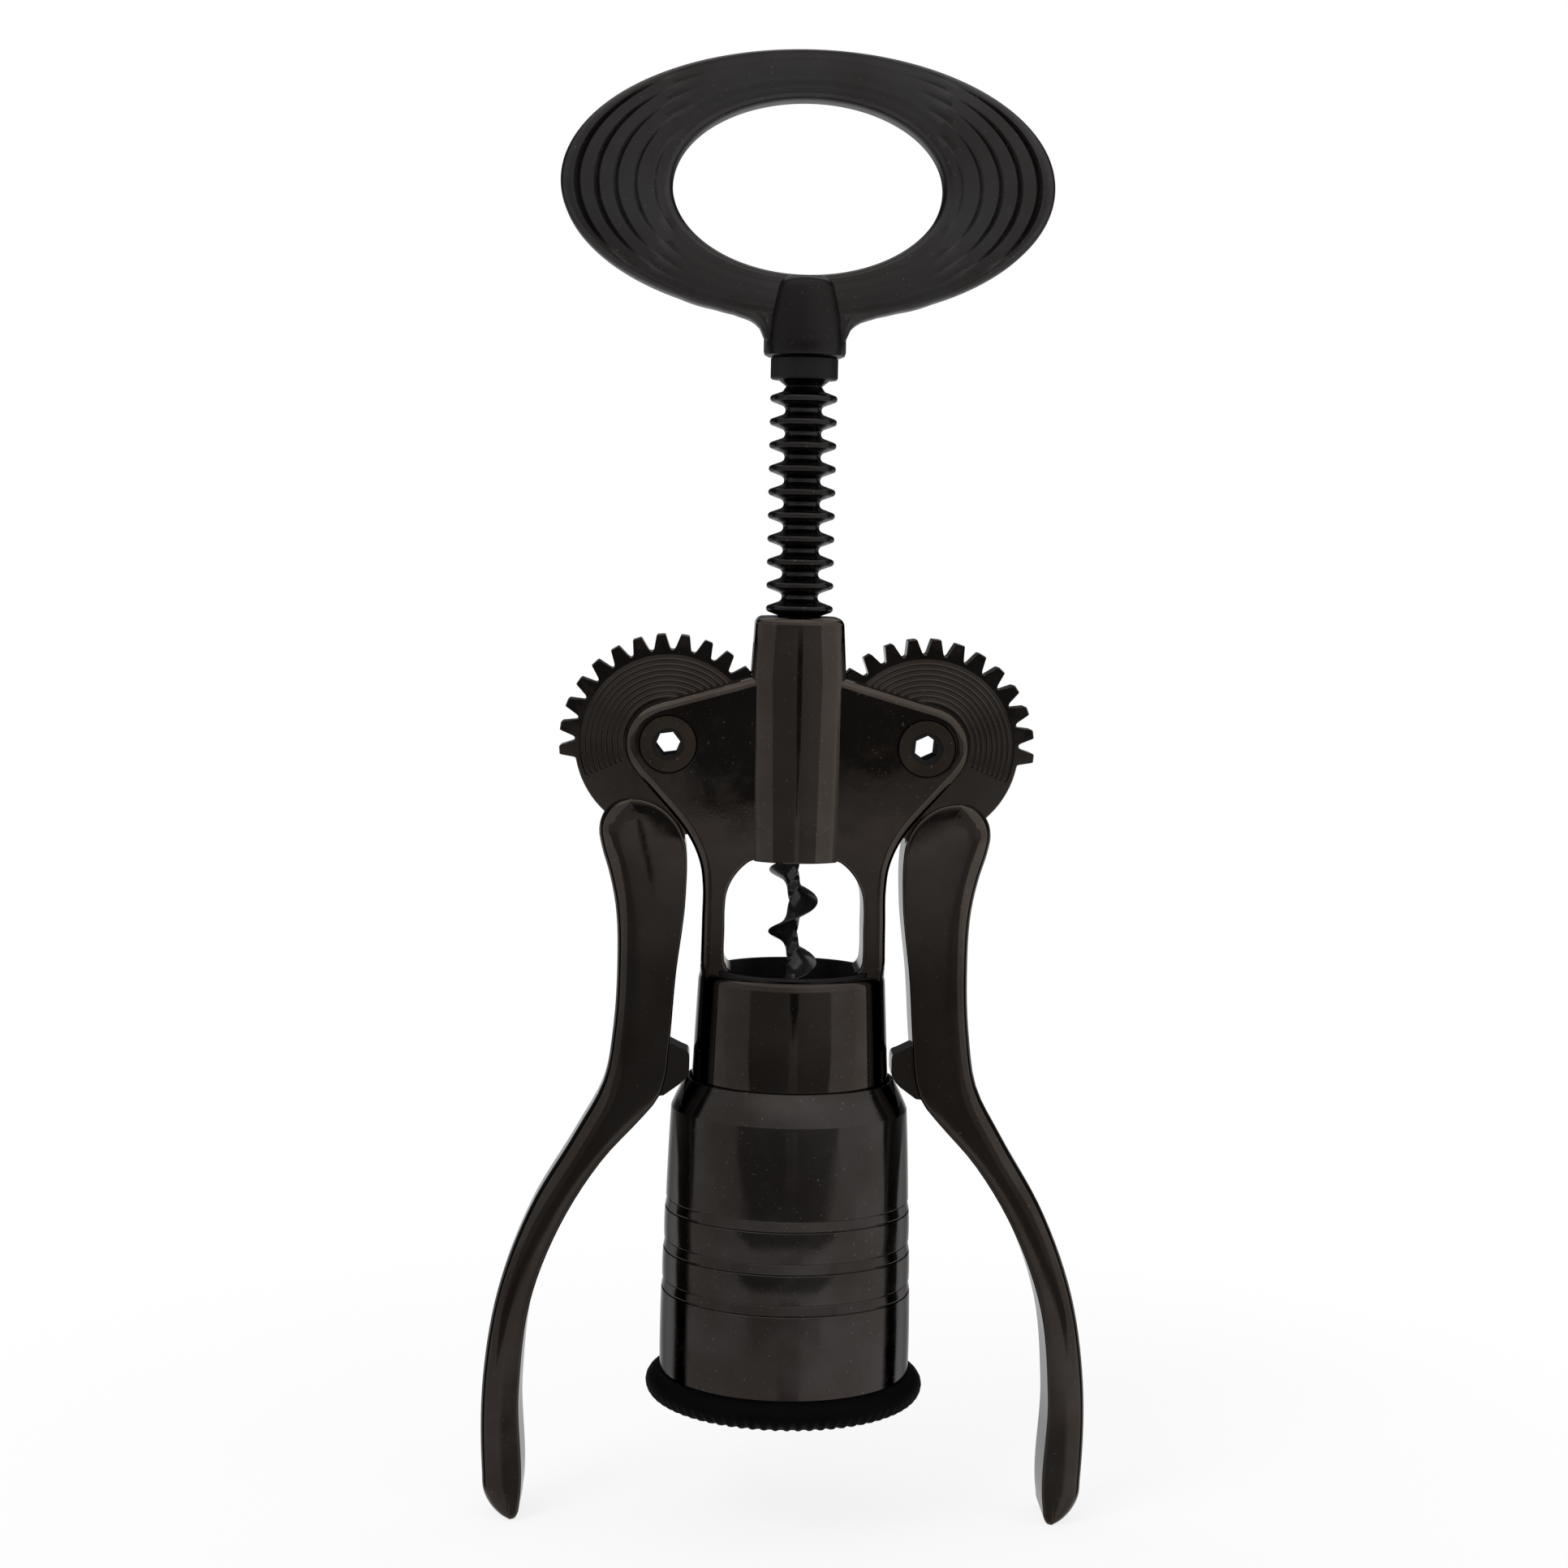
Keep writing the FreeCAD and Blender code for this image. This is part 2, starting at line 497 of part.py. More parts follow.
def frame_casting():
    """The casting that guides the spindle, carries the levers and holds the bell."""
    barrel = turned((BARREL_BORE_R, BARREL_BOTTOM_Z), (BARREL_R, BARREL_BOTTOM_Z), (BARREL_R, LIP_Z),
                    (BARREL_TOP_R, BARREL_TOP_Z - BARREL_EDGE_H), (BARREL_TOP_R - BARREL_EDGE, BARREL_TOP_Z),
                    (BARREL_BORE_R, BARREL_TOP_Z))
    bore_height = BARREL_TOP_Z + LINER_RIM + FIT_GAP - BARREL_BOTTOM_Z
    slot_height = SLOT_RISE + SLOT_DROP
    cuts = [Part.makeCylinder(RACK_R + BORE_GAP, COLUMN_TOP_Z - LIP_Z, V(0, 0, LIP_Z)),
            Part.makeCylinder(BARREL_BORE_R, bore_height, V(0, 0, BARREL_BOTTOM_Z)),
            Part.makeBox(2 * COLUMN_DEPTH_R, 2 * SLOT_HALF, slot_height,
                         V(-COLUMN_DEPTH_R, -SLOT_HALF, PIVOT_Z - SLOT_DROP))]
    for side in (-1, 1):
        cuts += [at_pivot(drum(TIP_R + GEAR_CLEAR, -SLOT_HALF, SLOT_HALF), side),
                 at_pivot(drum(NUT_R + FIT_GAP, -2 * EAR_FACE, 2 * EAR_FACE), side),
                 at_pivot(drum(HEAD_R + HEAD_GAP, -2 * EAR_FACE, -HEAD_BACK), side),
                 at_pivot(drum(HEAD_R + HEAD_GAP, HEAD_BACK, 2 * EAR_FACE), side)]
    return column().fuse([ears_and_legs(), barrel]).cut(cuts).removeSplitter()


# ---- bell --------------------------------------------------------------------------------------

def bell_sleeve():
    """The turned outer sleeve, with three grooves between its bands."""
    inner = BARREL_R + FIT_GAP
    lip_r = BARREL_R + LIP_T
    low = SLEEVE_BOTTOM_Z
    points = [(SLEEVE_IN_R, low), (SLEEVE_R - 0.5 * LIP_EDGE, low), (SLEEVE_R, low + 0.5 * LIP_EDGE)]
    for n, z in enumerate(reversed(GROOVE_Z)):
        band_r = SLEEVE_R - GROOVE_STEP * n
        points += [(band_r - GROOVE_LOW, z - GROOVE_H / 2), (band_r - GROOVE_D, z),
                   (band_r - GROOVE_STEP, z + GROOVE_H / 2)]
    points += [(SLEEVE_R - SHOULDER_IN, SHOULDER_Z), (lip_r, LIP_Z - LIP_EDGE),
               (lip_r - 0.5 * LIP_EDGE, LIP_Z), (inner + LIP_FLARE, LIP_Z), (inner, LIP_Z - 2 * LIP_EDGE),
               (inner, BARREL_BOTTOM_Z), (SLEEVE_IN_R, BARREL_BOTTOM_Z - SEAT_SLOPE)]
    return turned(*points)


def neck_liner():
    """The plastic liner: a cup inside the barrel, the seat for the bottle, and a skirt round its mouth."""
    cup_r = BARREL_BORE_R - FIT_GAP
    cup_in_r = cup_r - LINER_WALL
    seat_z = BARREL_BOTTOM_Z - SEAT_T
    slope_z = BARREL_BOTTOM_Z - SEAT_SLOPE
    rim_z = BARREL_TOP_Z + LINER_RIM
    mouth_z = RING_BOTTOM_Z + LINER_UP
    return turned((BOTTLE_R + LINER_EDGE, mouth_z), (LINER_R, mouth_z), (LINER_R, slope_z - LINER_EDGE),
                  (cup_r, slope_z + LINER_EDGE), (cup_r, rim_z - LINER_EDGE), (cup_r - LINER_EDGE, rim_z),
                  (cup_in_r, rim_z), (cup_in_r, seat_z), (BOTTLE_R, seat_z), (BOTTLE_R, mouth_z + LINER_EDGE))


def bottle_ring():
    """The soft ring round the bell's lower rim."""
    low = RING_BOTTOM_Z
    edge = RING_EDGE
    return turned((SLEEVE_IN_R, low + edge), (SLEEVE_IN_R + 0.5 * edge, low), (RING_R - edge, low),
                  (RING_R - 0.2 * edge, low + edge), (RING_R, RING_WIDEST_Z),
                  (RING_R - 0.4 * edge, RING_WIDEST_Z + edge), (SLEEVE_R + RING_TOP_PROUD, SLEEVE_BOTTOM_Z),
                  (SLEEVE_IN_R, SLEEVE_BOTTOM_Z))


# ---- pivots ------------------------------------------------------------------------------------

def hexagon_rod(side):
    """A long rod with six flats, for the key's hole through a pivot."""
    corner_r = HEX_FLATS / math.sqrt(3)
    corners = [around((0, 0), corner_r, HEX_TURN[side] + 60 * n) for n in range(6)]
    return slab(polygon(corners), 2 * HEAD_FACE + HEX_FLATS)


def pivot_screw(side):
    """The hollow screw at the front of a pivot: head, recess and hexagon, and a shank in the nut."""
    end = HEAD_BACK - SCREW_SHORT
    body = turned_across((0, -HEAD_FACE), (HEAD_R - HEAD_EDGE, -HEAD_FACE), (HEAD_R, -HEAD_FACE + HEAD_EDGE),
                         (HEAD_R, -HEAD_BACK), (SCREW_R, -HEAD_BACK), (SCREW_R, end), (0, end))
    recess = drum(RECESS_R, -HEAD_FACE, -HEAD_FACE + RECESS_DEPTH)
    return at_pivot(body.cut([recess, hexagon_rod(side)]), side)


def pivot_nut(side):
    """The sleeve nut from behind: the lever turns on its barrel."""
    front = -HEAD_BACK + HEAD_GAP
    body = turned_across((0, HEAD_FACE), (HEAD_R - HEAD_EDGE, HEAD_FACE), (HEAD_R, HEAD_FACE - HEAD_EDGE),
                         (HEAD_R, HEAD_BACK), (NUT_R, HEAD_BACK), (NUT_R, front), (0, front))
    bore = drum(SCREW_R + FIT_GAP, front, HEAD_BACK - NUT_BORE_SHORT)
    recess = drum(RECESS_R, HEAD_FACE - RECESS_DEPTH, HEAD_FACE)
    return at_pivot(body.cut([bore, recess, hexagon_rod(side)]), side)


# ---- levers ------------------------------------------------------------------------------------

def tooth_half_angle(radius):
    """Half the angle of an involute gear tooth at that radius, in degrees."""
    base_r = PITCH_R * math.cos(PRESSURE_ANGLE)

    def spread(r):
        roll = math.acos(min(1.0, base_r / r))
        return math.tan(roll) - roll
    return math.degrees(TOOTH_ON_PITCH / 2 / PITCH_R + spread(PITCH_R) - spread(radius))


def toothed_sector():
    """The lever's plate: a disc with teeth over the part that meets the rack."""
    step = 360 / GEAR_TEETH
    first = math.ceil((SECTOR_START - GEAR_PHASE) / step)
    last = math.floor((SECTOR_END - GEAR_PHASE) / step)
    radii = (ROOT_R - TOOTH_IN, PITCH_R - 0.35 * GEAR_TIP, TIP_R)
    teeth = []
    for n in range(first, last + 1):
        middle = TO_SPINDLE - GEAR_PHASE - n * step
        side = [around((0, 0), r, middle + tooth_half_angle(r)) for r in radii]
        other = [around((0, 0), r, middle - tooth_half_angle(r)) for r in radii]
        wire = outline(side[0], (side[1], side[2]), (other[2],), (other[1], other[0]))
        teeth.append(slab(wire, GEAR_WIDTH))
    plate = drum(ROOT_R, -GEAR_WIDTH / 2, GEAR_WIDTH / 2).fuse(teeth).removeSplitter()
    return plate.cut([face_groove(radius, face) for radius in FACE_GROOVES for face in (-1, 1)])


def face_groove(radius, face):
    """A V cutter for a groove in one face of the sector, over the part that has teeth."""
    start = TO_SPINDLE - SECTOR_START + FACE_GROOVE_LAP
    sweep = SECTOR_END - SECTOR_START + 2 * FACE_GROOVE_LAP
    half = FACE_GROOVE_W / 2
    surface = face * GEAR_WIDTH / 2
    corners = []
    bottom = surface - face * FACE_GROOVE_D
    for r, y in ((radius - half, surface), (radius, bottom), (radius + half, surface)):
        x, z = around((0, 0), r, start)
        corners.append(V(x, y, z))
    return Part.Face(Part.makePolygon(corners + corners[:1])).revolve(V(0, 0, 0), V(0, 1, 0), sweep)


def stretched(points):
    """Points of the arm, for the lever's own length."""
    return tuple((x, z * LEVER_LENGTH / ARM_DRAWN) for x, z in points)


def arm():
    """The lever's arm, from the rounded shoulder to the tip."""
    inner_centre = (CROWN[0], CROWN[1] - CROWN_IN_R)
    outer_centre = (CROWN[0], CROWN[1] - CROWN_OUT_R)
    wire = outline(CROWN, (around(outer_centre, CROWN_OUT_R, 45), around(outer_centre, CROWN_OUT_R, 0)),
                   stretched(ARM_OUTER), stretched(ARM_TIP), stretched(ARM_HEEL),
                   stretched(ARM_INNER) + (around(inner_centre, CROWN_IN_R, 180),),
                   (around(inner_centre, CROWN_IN_R, 135), CROWN))
    return rounded(slab(wire, ARM_T), ARM_EDGE_R, on_faces(ARM_T / 2))


def nub():
    """The stop on the arm that rests beside the barrel."""
    x = BARREL_R + NUB_GAP - PIVOT_X
    z = LIP_Z + NUB_UP - PIVOT_Z
    nose = [(x + dx, z + dz) for dx, dz in NUB_NOSE]
    root = [(point,) for point in NUB_ROOT]
    return slab(outline(nose[0], nose[1:3], (nose[3],), nose[4:6], *root), GEAR_WIDTH)


def lever(side):
    """A lever: toothed plate, arm and stop."""
    body = toothed_sector().fuse([arm(), nub(), slab(polygon(WEB), GEAR_WIDTH)]).removeSplitter()
    body = body.cut(drum(NUT_R + HUB_BORE_GAP, -ARM_T, ARM_T))
    return mirrored(at_pivot(body, 1), side)


# ---- all pieces --------------------------------------------------------------------------------

pieces = {
    "frame_casting": frame_casting(),
    "bell_sleeve": bell_sleeve(),
    "neck_liner": neck_liner(),
    "bottle_ring": bottle_ring(),
    "stop_collar": stop_collar(),
    "handle": handle(),
    "rack_spindle": rack_spindle(),
    "worm": worm(),
    "worm_cross_pin": worm_cross_pin(),
}
for name, side in (("left", -1), ("right", 1)):
    pieces["lever_" + name] = lever(side)
    pieces["pivot_screw_" + name] = pivot_screw(side)
    pieces["pivot_nut_" + name] = pivot_nut(side)

os.makedirs("parts", exist_ok=True)
for name, shape in pieces.items():
    print(f"{name:20s} solids {len(shape.Solids)} volume {shape.Volume:9.1f} valid {shape.isValid()}")
    shape.exportStep(f"parts/{name}.step")
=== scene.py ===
from math import acos, asin, atan2, cos, hypot, pi, radians, sin

import bmesh
import bpy
from mathutils import Matrix, Vector

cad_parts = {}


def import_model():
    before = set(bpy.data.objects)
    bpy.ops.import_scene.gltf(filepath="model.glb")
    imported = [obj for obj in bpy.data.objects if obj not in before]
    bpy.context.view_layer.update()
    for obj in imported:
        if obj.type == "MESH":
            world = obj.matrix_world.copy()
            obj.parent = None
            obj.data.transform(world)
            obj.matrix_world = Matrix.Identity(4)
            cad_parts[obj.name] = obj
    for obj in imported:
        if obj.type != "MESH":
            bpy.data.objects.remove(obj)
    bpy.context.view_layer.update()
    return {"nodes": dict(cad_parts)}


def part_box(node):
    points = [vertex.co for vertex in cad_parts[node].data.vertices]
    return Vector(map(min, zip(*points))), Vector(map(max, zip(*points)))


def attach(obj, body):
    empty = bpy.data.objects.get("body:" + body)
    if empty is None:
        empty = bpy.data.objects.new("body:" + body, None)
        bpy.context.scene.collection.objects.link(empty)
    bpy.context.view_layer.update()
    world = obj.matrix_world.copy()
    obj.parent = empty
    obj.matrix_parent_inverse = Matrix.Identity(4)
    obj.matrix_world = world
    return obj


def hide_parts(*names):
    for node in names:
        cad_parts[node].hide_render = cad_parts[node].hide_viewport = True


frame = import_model()

MM = 0.001
LEVER_TIPS_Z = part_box("lever_left")[0].z
PIVOT = (17.45, 87.0)  # millimetres from the axis, and up

# ---------------------------------------------------------------- shader maths


class Value:
    """What one node gives. Sums, products and so on of values add their Math nodes."""

    def __init__(self, net, socket):
        self.net = net
        self.socket = socket

    def maths(self, operation, *terms):
        return self.net.node(
            "ShaderNodeMath", {"operation": operation}, dict(enumerate(terms))
        )

    def __add__(self, other):
        return self.maths("ADD", self, other)

    __radd__ = __add__

    def __sub__(self, other):
        return self.maths("SUBTRACT", self, other)

    def __rsub__(self, other):
        return self.maths("SUBTRACT", other, self)

    def __mul__(self, other):
        return self.maths("MULTIPLY", self, other)

    __rmul__ = __mul__

    def __truediv__(self, other):
        return self.maths("DIVIDE", self, other)

    def __abs__(self):
        return self.maths("ABSOLUTE", self)

    def step(self, start, end, low=0.0, high=1.0):
        """Goes smoothly from low to high while this value goes from start to end."""
        return self.net.node(
            "ShaderNodeMapRange",
            {"interpolation_type": "SMOOTHSTEP"},
            {"Value": self, 1: start, 2: end, 3: low, 4: high},
        )


class Net:
    """The nodes of one material or of the world."""

    def __init__(self, owner):
        owner.use_nodes = True
        self.tree = owner.node_tree
        self.tree.nodes.clear()

    def node(self, kind, settings=None, values=None, output=0):
        made = self.tree.nodes.new(kind)
        for name, setting in (settings or {}).items():
            if name == "stops":
                ramp = made.color_ramp.elements
                while len(ramp) < len(setting):
                    ramp.new(1)
                for stop, (place, colour) in zip(ramp, setting):
                    stop.position = place
                    stop.color = (*colour, 1)
            else:
                setattr(made, name, setting)
        for name, value in (values or {}).items():
            if isinstance(value, Value):
                self.tree.links.new(value.socket, made.inputs[name])
            else:
                made.inputs[name].default_value = value
        return Value(self, made.outputs[output]) if made.outputs else None

    def place(self):
        """Object coordinates."""
        spot = self.node("ShaderNodeTexCoord", output="Object")
        return self.node("ShaderNodeMapping", {}, {"Vector": spot})

    def axes(self, vector, count=3):
        """X, Y and Z of a vector, or the first of them."""
        return [
            self.node("ShaderNodeSeparateXYZ", {}, {"Vector": vector}, output=n)
            for n in range(count)
        ]

    def ray(self, kind):
        """1 for rays of this kind, 0 for the others."""
        return self.node("ShaderNodeLightPath", output=f"Is {kind} Ray")

    def noise(self, size, detail=2.0, rough=0.5):
        """A cloudy pattern with patches of about this size, in metres."""
        return self.node(
            "ShaderNodeTexNoise",
            {},
            {
                "Vector": self.place(),
                "Scale": 1 / size,
                "Detail": detail,
                "Roughness": rough,
            },
        )

    def blend(self, mask, first, second):
        """The first colour where the mask is 0, the second where it is 1."""
        values = {0: mask}
        for socket, colour in ((6, first), (7, second)):
            values[socket] = colour if isinstance(colour, Value) else (*colour, 1)
        return self.node("ShaderNodeMix", {"data_type": "RGBA"}, values, output=2)

    def bump(self, height, depth, below=None):
        """A bump whose height of 1 is depth metres."""
        values = {"Strength": 1.0, "Distance": depth, "Height": height}
        if below is not None:
            values["Normal"] = below
        return self.node("ShaderNodeBump", {}, values)

    def finish(self, shader, kind="Material"):
        self.node(f"ShaderNodeOutput{kind}", {}, {"Surface": shader})


# ------------------------------------------------------------- view and studio


LENS = 65.22
SENSOR = 36
EYE = (-0.01307, -0.38607, 0.11198)
EYE_TURN = -1.702  # degrees
EYE_TILT = 90 - 4.506
EYE_ROLL = 1.183


def camera():
    """A long lens a little above the middle of the corkscrew, nearly square on to it."""
    lens = bpy.data.cameras.new("camera")
    lens.lens = LENS
    lens.sensor_width = SENSOR
    lens.clip_start = 0.01
    lens.clip_end = 50
    eye = bpy.data.objects.new("camera", lens)
    turn = Matrix.Rotation(radians(EYE_TURN), 4, "Z")
    tilt = Matrix.Rotation(radians(EYE_TILT), 4, "X")
    roll = Matrix.Rotation(radians(EYE_ROLL), 4, "Z")
    spot = Matrix.Translation(EYE)
    eye.matrix_world = spot @ turn @ tilt @ roll
    bpy.context.scene.collection.objects.link(eye)
    bpy.context.scene.camera = eye


def studio_light(net):
    """How bright the studio is in each direction, as polished metal reflects it.

    turn is the direction round the part and rise the one above the horizon, in degrees.
    """
    way = net.node("ShaderNodeTexCoord", output="Generated")
    side, back, up = net.axes(way)
    turn = side.maths("ARCTAN2", side, 0 - back) * (180 / pi)
    rise = up.maths("ARCSINE", up) * (180 / pi)
    round_turn = abs(turn)
    level = turn.step(-20, 40, 0.6, 0.86)
    # a dark screen round the camera, narrower towards its foot, in a wider, fainter one
    narrow = rise.step(-14, -6, 0.62, 1.0)
    depth = rise.step(-7.5, -4.5, 0.65, 0.45)
    screens = ((50, -13.2, 5.0, 1.5, depth), (86, -12.0, 5.0, 5, 0.14))
    for half, low, high, edge, dark in screens:
        across = abs(turn + 2.5) / narrow
        screen = 1 - across.step(half - edge, half + edge)
        screen = screen * rise.step(low - 0.7, low + 0.7)
        screen = screen * (1 - rise.step(high - 0.5, high + 0.5))
        level = level * (1 - dark * screen)
    # straight ahead something dark on a foot, wider above, and paler ground under it
    spread = rise.step(-4.2, -3.5, 0.0, 2.8)
    dark = (turn + spread).step(-0.5, 0.1) * (1 - (turn - spread).step(3.9, 4.6))
    dark = dark * (rise - turn.step(1.5, 3.0, 0.0, 0.75)).step(-5.25, -5.0)
    dark = dark * (1 - rise.step(-1.6, -0.9))
    stem = turn.step(-1.75, -1.6) * (1 - turn.step(-1.25, -1.1))
    stem = stem * rise.step(-6.9, -6.5) * (1 - rise.step(-5.4, -5.1))
    dark = dark + stem
    near = turn.step(-4, -3) * (1 - turn.step(6.8, 7.8))
    pale = near * rise.step(-11, -5.4, 0.0, 0.6) * (1 - rise.step(-5.3, -5.0))
    level = level * (1 + pale) * (1 - 0.75 * dark)
    foot = turn.step(-9, -6) * (1 - turn.step(11, 14)) * rise.step(-26, -22)
    level = level * (1 - 0.5 * foot * (1 - rise.step(-17.5, -15.5)))
    # a dark gap at each side, a shaded wall behind, the roof and the ground
    gap = round_turn.step(101, 104) * (1 - round_turn.step(123, 126))
    level = level * (1 - 0.95 * gap)
    wall = round_turn.step(123, 126)
    shade = round_turn.step(126, 150, 0.62, 0.22) + round_turn.step(150, 172, 0, 0.28)
    level = level * (1 - wall) + shade * wall * rise.step(-3, 3, 1, 0.1)
    roof = rise.step(34, 46)
    level = level * (1 - roof) + 1.05 * roof
    ground = 1 - rise.step(-34, -22)
    return level * (1 - ground) + 0.7 * ground


def world():
    """White for the camera, the studio for the metal, even light for the rest."""
    sky = bpy.data.worlds.new("studio")
    bpy.context.scene.world = sky
    net = Net(sky)
    seen = net.ray("Camera")
    glossy = net.ray("Glossy")
    level = studio_light(net) * glossy + 0.85 * (1 - glossy)
    level = level * (1 - seen) + seen
    net.finish(
        net.node(
            "ShaderNodeBackground", {}, {"Color": (1, 1, 1, 1), "Strength": level}
        ),
        "World",
    )


def lamp(name, place, aim, width, power):
    light = bpy.data.lights.new(name, "AREA")
    light.shape = "SQUARE"
    light.size = width
    light.energy = power
    holder = bpy.data.objects.new(name, light)
    holder.location = place
    holder.visible_glossy = False
    holder.rotation_euler = (
        (Vector(aim) - Vector(place)).to_track_quat("-Z", "Y").to_euler()
    )
    bpy.context.scene.collection.objects.link(holder)


def floor():
    """A pale floor under the lever tips, white to the camera but for a soft shadow."""
    bpy.ops.mesh.primitive_grid_add(
        x_subdivisions=2, y_subdivisions=2, size=6, location=(0, 0, LEVER_TIPS_Z)
    )
    ground = bpy.context.active_object
    ground.name = "floor"
    bpy.ops.object.transform_apply(location=True)
    paper = bpy.data.materials.new("floor_paper")
    net = Net(paper)
    seen = net.ray("Camera")
    glossy = net.ray("Glossy")
    matt = net.node("ShaderNodeBsdfDiffuse", {}, {"Color": (0.85, 0.85, 0.85, 1)})
    white = net.node("ShaderNodeEmission", {}, {"Color": (1, 1, 1, 1)})
    clear = net.node("ShaderNodeBsdfTransparent")
    # the shadow lies near the tips, and the paper turns plain white further off
    spot = net.place()
    side, depth = net.axes(spot, 2)
    far = (side * side + depth * depth).step(0.002, 0.03, 0.82, 1.0)
    shaded = net.node("ShaderNodeMixShader", {}, {0: far * seen, 1: matt, 2: white})
    net.finish(net.node("ShaderNodeMixShader", {}, {0: glossy, 1: shaded, 2: clear}))
    ground.data.materials.append(paper)


# ------------------------------------------------------------------- materials


SPECK = (0.16, 0.145, 0.135)
# painted shade for the inside of the key's hole
HOLE_SHADE = (0.004, 0.004, 0.0045)
METALS = {  # darker and lighter tone, roughness, depth of the waves and of the grain
    "plated_metal": ((0.046, 0.039, 0.035), (0.056, 0.050, 0.048), 0.1, 9e-5, 2e-6),
    "satin_metal": ((0.050, 0.046, 0.045), (0.059, 0.056, 0.056), 0.3, 6e-5, 6e-6),
    "spindle_metal": ((0.030, 0.028, 0.027), (0.038, 0.036, 0.035), 0.2, 3e-5, 4e-6),
    "screw_metal": ((0.046, 0.036, 0.029), (0.058, 0.047, 0.039), 0.28, 3e-5, 6e-6),
    "cast_metal": ((0.065, 0.053, 0.045), (0.077, 0.066, 0.059), 0.02, 1.6e-5, 6e-7),
}
METAL_EXTRAS = {
    "satin_metal": {"hub": 0.5},
    # the screw metal gets painted shade in the key's hole
    "screw_metal": {"hole": True},
    # cast metal gets painted shade from the window down
    "cast_metal": {"low": 0.72},
}
PLASTICS = {  # tone, roughness, gloss, size and depth of the texture
    "worm_coating": ((0.008, 0.008, 0.009), 0.16, 0.5, 6e-4, 4e-6),
    "black_plastic": ((0.006, 0.0055, 0.006), 0.36, 0.16, 3e-4, 8e-6),
    "black_rubber": ((0.0012, 0.0012, 0.0015), 0.5, 0.03, 3e-4, 1.5e-5),
}


def metal(name, dark, light, rough, wave, grain, hole=False, low=1.0, hub=1.0):
    """Plated metal: slow waves from polishing, blotches in the plating, fine specks, and
    where asked painted shade low down or in the key's hole.
    """
    made = bpy.data.materials.new(name)
    net = Net(made)
    blotch = net.noise(0.011, 3, 0.55).step(0.38, 0.66)
    haze = net.noise(0.0035, 4, 0.6).step(0.35, 0.75)
    speck = net.noise(0.00042, 1, 0.4).step(0.71, 0.76)
    colour = net.blend(blotch, dark, light)
    colour = net.blend(0.5 * speck, colour, SPECK)
    waves = net.noise(0.0085, 1.5, 0.4)
    fine = net.noise(0.00028, 2, 0.6)
    bumps = net.bump(waves, wave)
    bumps = net.bump(fine, grain, bumps)
    rough = rough + 0.07 * haze + 0.12 * speck
    plate = 1.0
    x, y, z = [axis * 1000 for axis in net.axes(net.place())]
    if low < 1:
        # painted shade: darker from the window down
        colour = net.blend(z.step(56, 63, low, 1), (0, 0, 0), colour)
    if hub < 1:
        # the turned hub, proud of the loop and under it, is darker
        loop = (1 - abs(y).step(2.99, 3.12)) * z.step(141.0, 143.5)
        colour = net.blend(hub + (1 - hub) * loop, (0, 0, 0), colour)
    if hole:
        # painted shade: the key's hole is painted near black inside, matt and not metallic
        x, z = abs(x) - PIVOT[0], z - PIVOT[1]
        plate = (x * x + z * z).step(4.2, 4.5)
        colour = net.blend(plate, HOLE_SHADE, colour)
        rough = rough + 0.5 * (1 - plate)
    shader = net.node(
        "ShaderNodeBsdfPrincipled",
        {},
        {"Base Color": colour, "Metallic": plate, "Roughness": rough, "Normal": bumps},
    )
    net.finish(shader)
    return made


def plastic(name, colour, rough, gloss, size, depth):
    """Moulded black plastic or rubber with a fine texture."""
    made = bpy.data.materials.new(name)
    net = Net(made)
    cloud = net.noise(0.006, 3, 0.6).step(0.3, 0.7)
    tone = net.blend(cloud, colour, tuple(1.5 * c for c in colour))
    skin = net.noise(size, 3, 0.6)
    shader = net.node(
        "ShaderNodeBsdfPrincipled",
        {},
        {
            "Base Color": tone,
            "Roughness": rough + 0.1 * cloud,
            "Specular IOR Level": gloss,
            "Normal": net.bump(skin, depth),
        },
    )
    net.finish(shader)
    return made


def finishes():
    """Every finish, by its name."""
    made = {
        name: metal(name, *look, **METAL_EXTRAS.get(name, {}))
        for name, look in METALS.items()
    }
    made.update({name: plastic(name, *look) for name, look in PLASTICS.items()})
    return made


def dress_cad_nodes(materials):
    """The nodes that stay as they are get the finish that their slot names."""
    for node in frame["nodes"].values():
        for place in node.material_slots:
            place.material = materials[place.material.name.split(".")[0]]


# ------------------------------------------------------------ modelling helpers


def pick(piece):
    """Only this object is selected, and it is the active one."""
    bpy.ops.object.select_all(action="DESELECT")
    piece.select_set(True)
    bpy.context.view_layer.objects.active = piece
    return piece


def named(name):
    """The object that was just added, with its name."""
    piece = bpy.context.active_object
    piece.name = name
    piece.data.name = name
    return pick(piece)


def section(name, corners):
    """A ring of points laid out in the XZ plane as a closed section, in millimetres."""
    bpy.ops.mesh.primitive_circle_add(vertices=len(corners), radius=MM)
    piece = named(name)
    for point, (x, z) in zip(piece.data.vertices, corners):
        point.co = (x * MM, 0, z * MM)
    return piece


def round_corners(piece, radius, sharp, segments=3):
    """Rounds the corners of a section that turn by more than sharp degrees."""
    bpy.ops.object.mode_set(mode="EDIT")
    mesh = bmesh.from_edit_mesh(piece.data)
    bpy.ops.mesh.select_mode(type="VERT")
    bpy.ops.mesh.select_all(action="DESELECT")
    for point in mesh.verts:
        first, second = (edge.other_vert(point).co - point.co for edge in point.link_edges)
        point.select = pi - first.angle(second) > radians(sharp)
    mesh.select_flush_mode()
    bmesh.update_edit_mesh(piece.data)
    bpy.ops.mesh.bevel(
        offset=radius * MM, segments=segments, affect="VERTICES", clamp_overlap=True
    )
    bpy.ops.object.mode_set(mode="OBJECT")


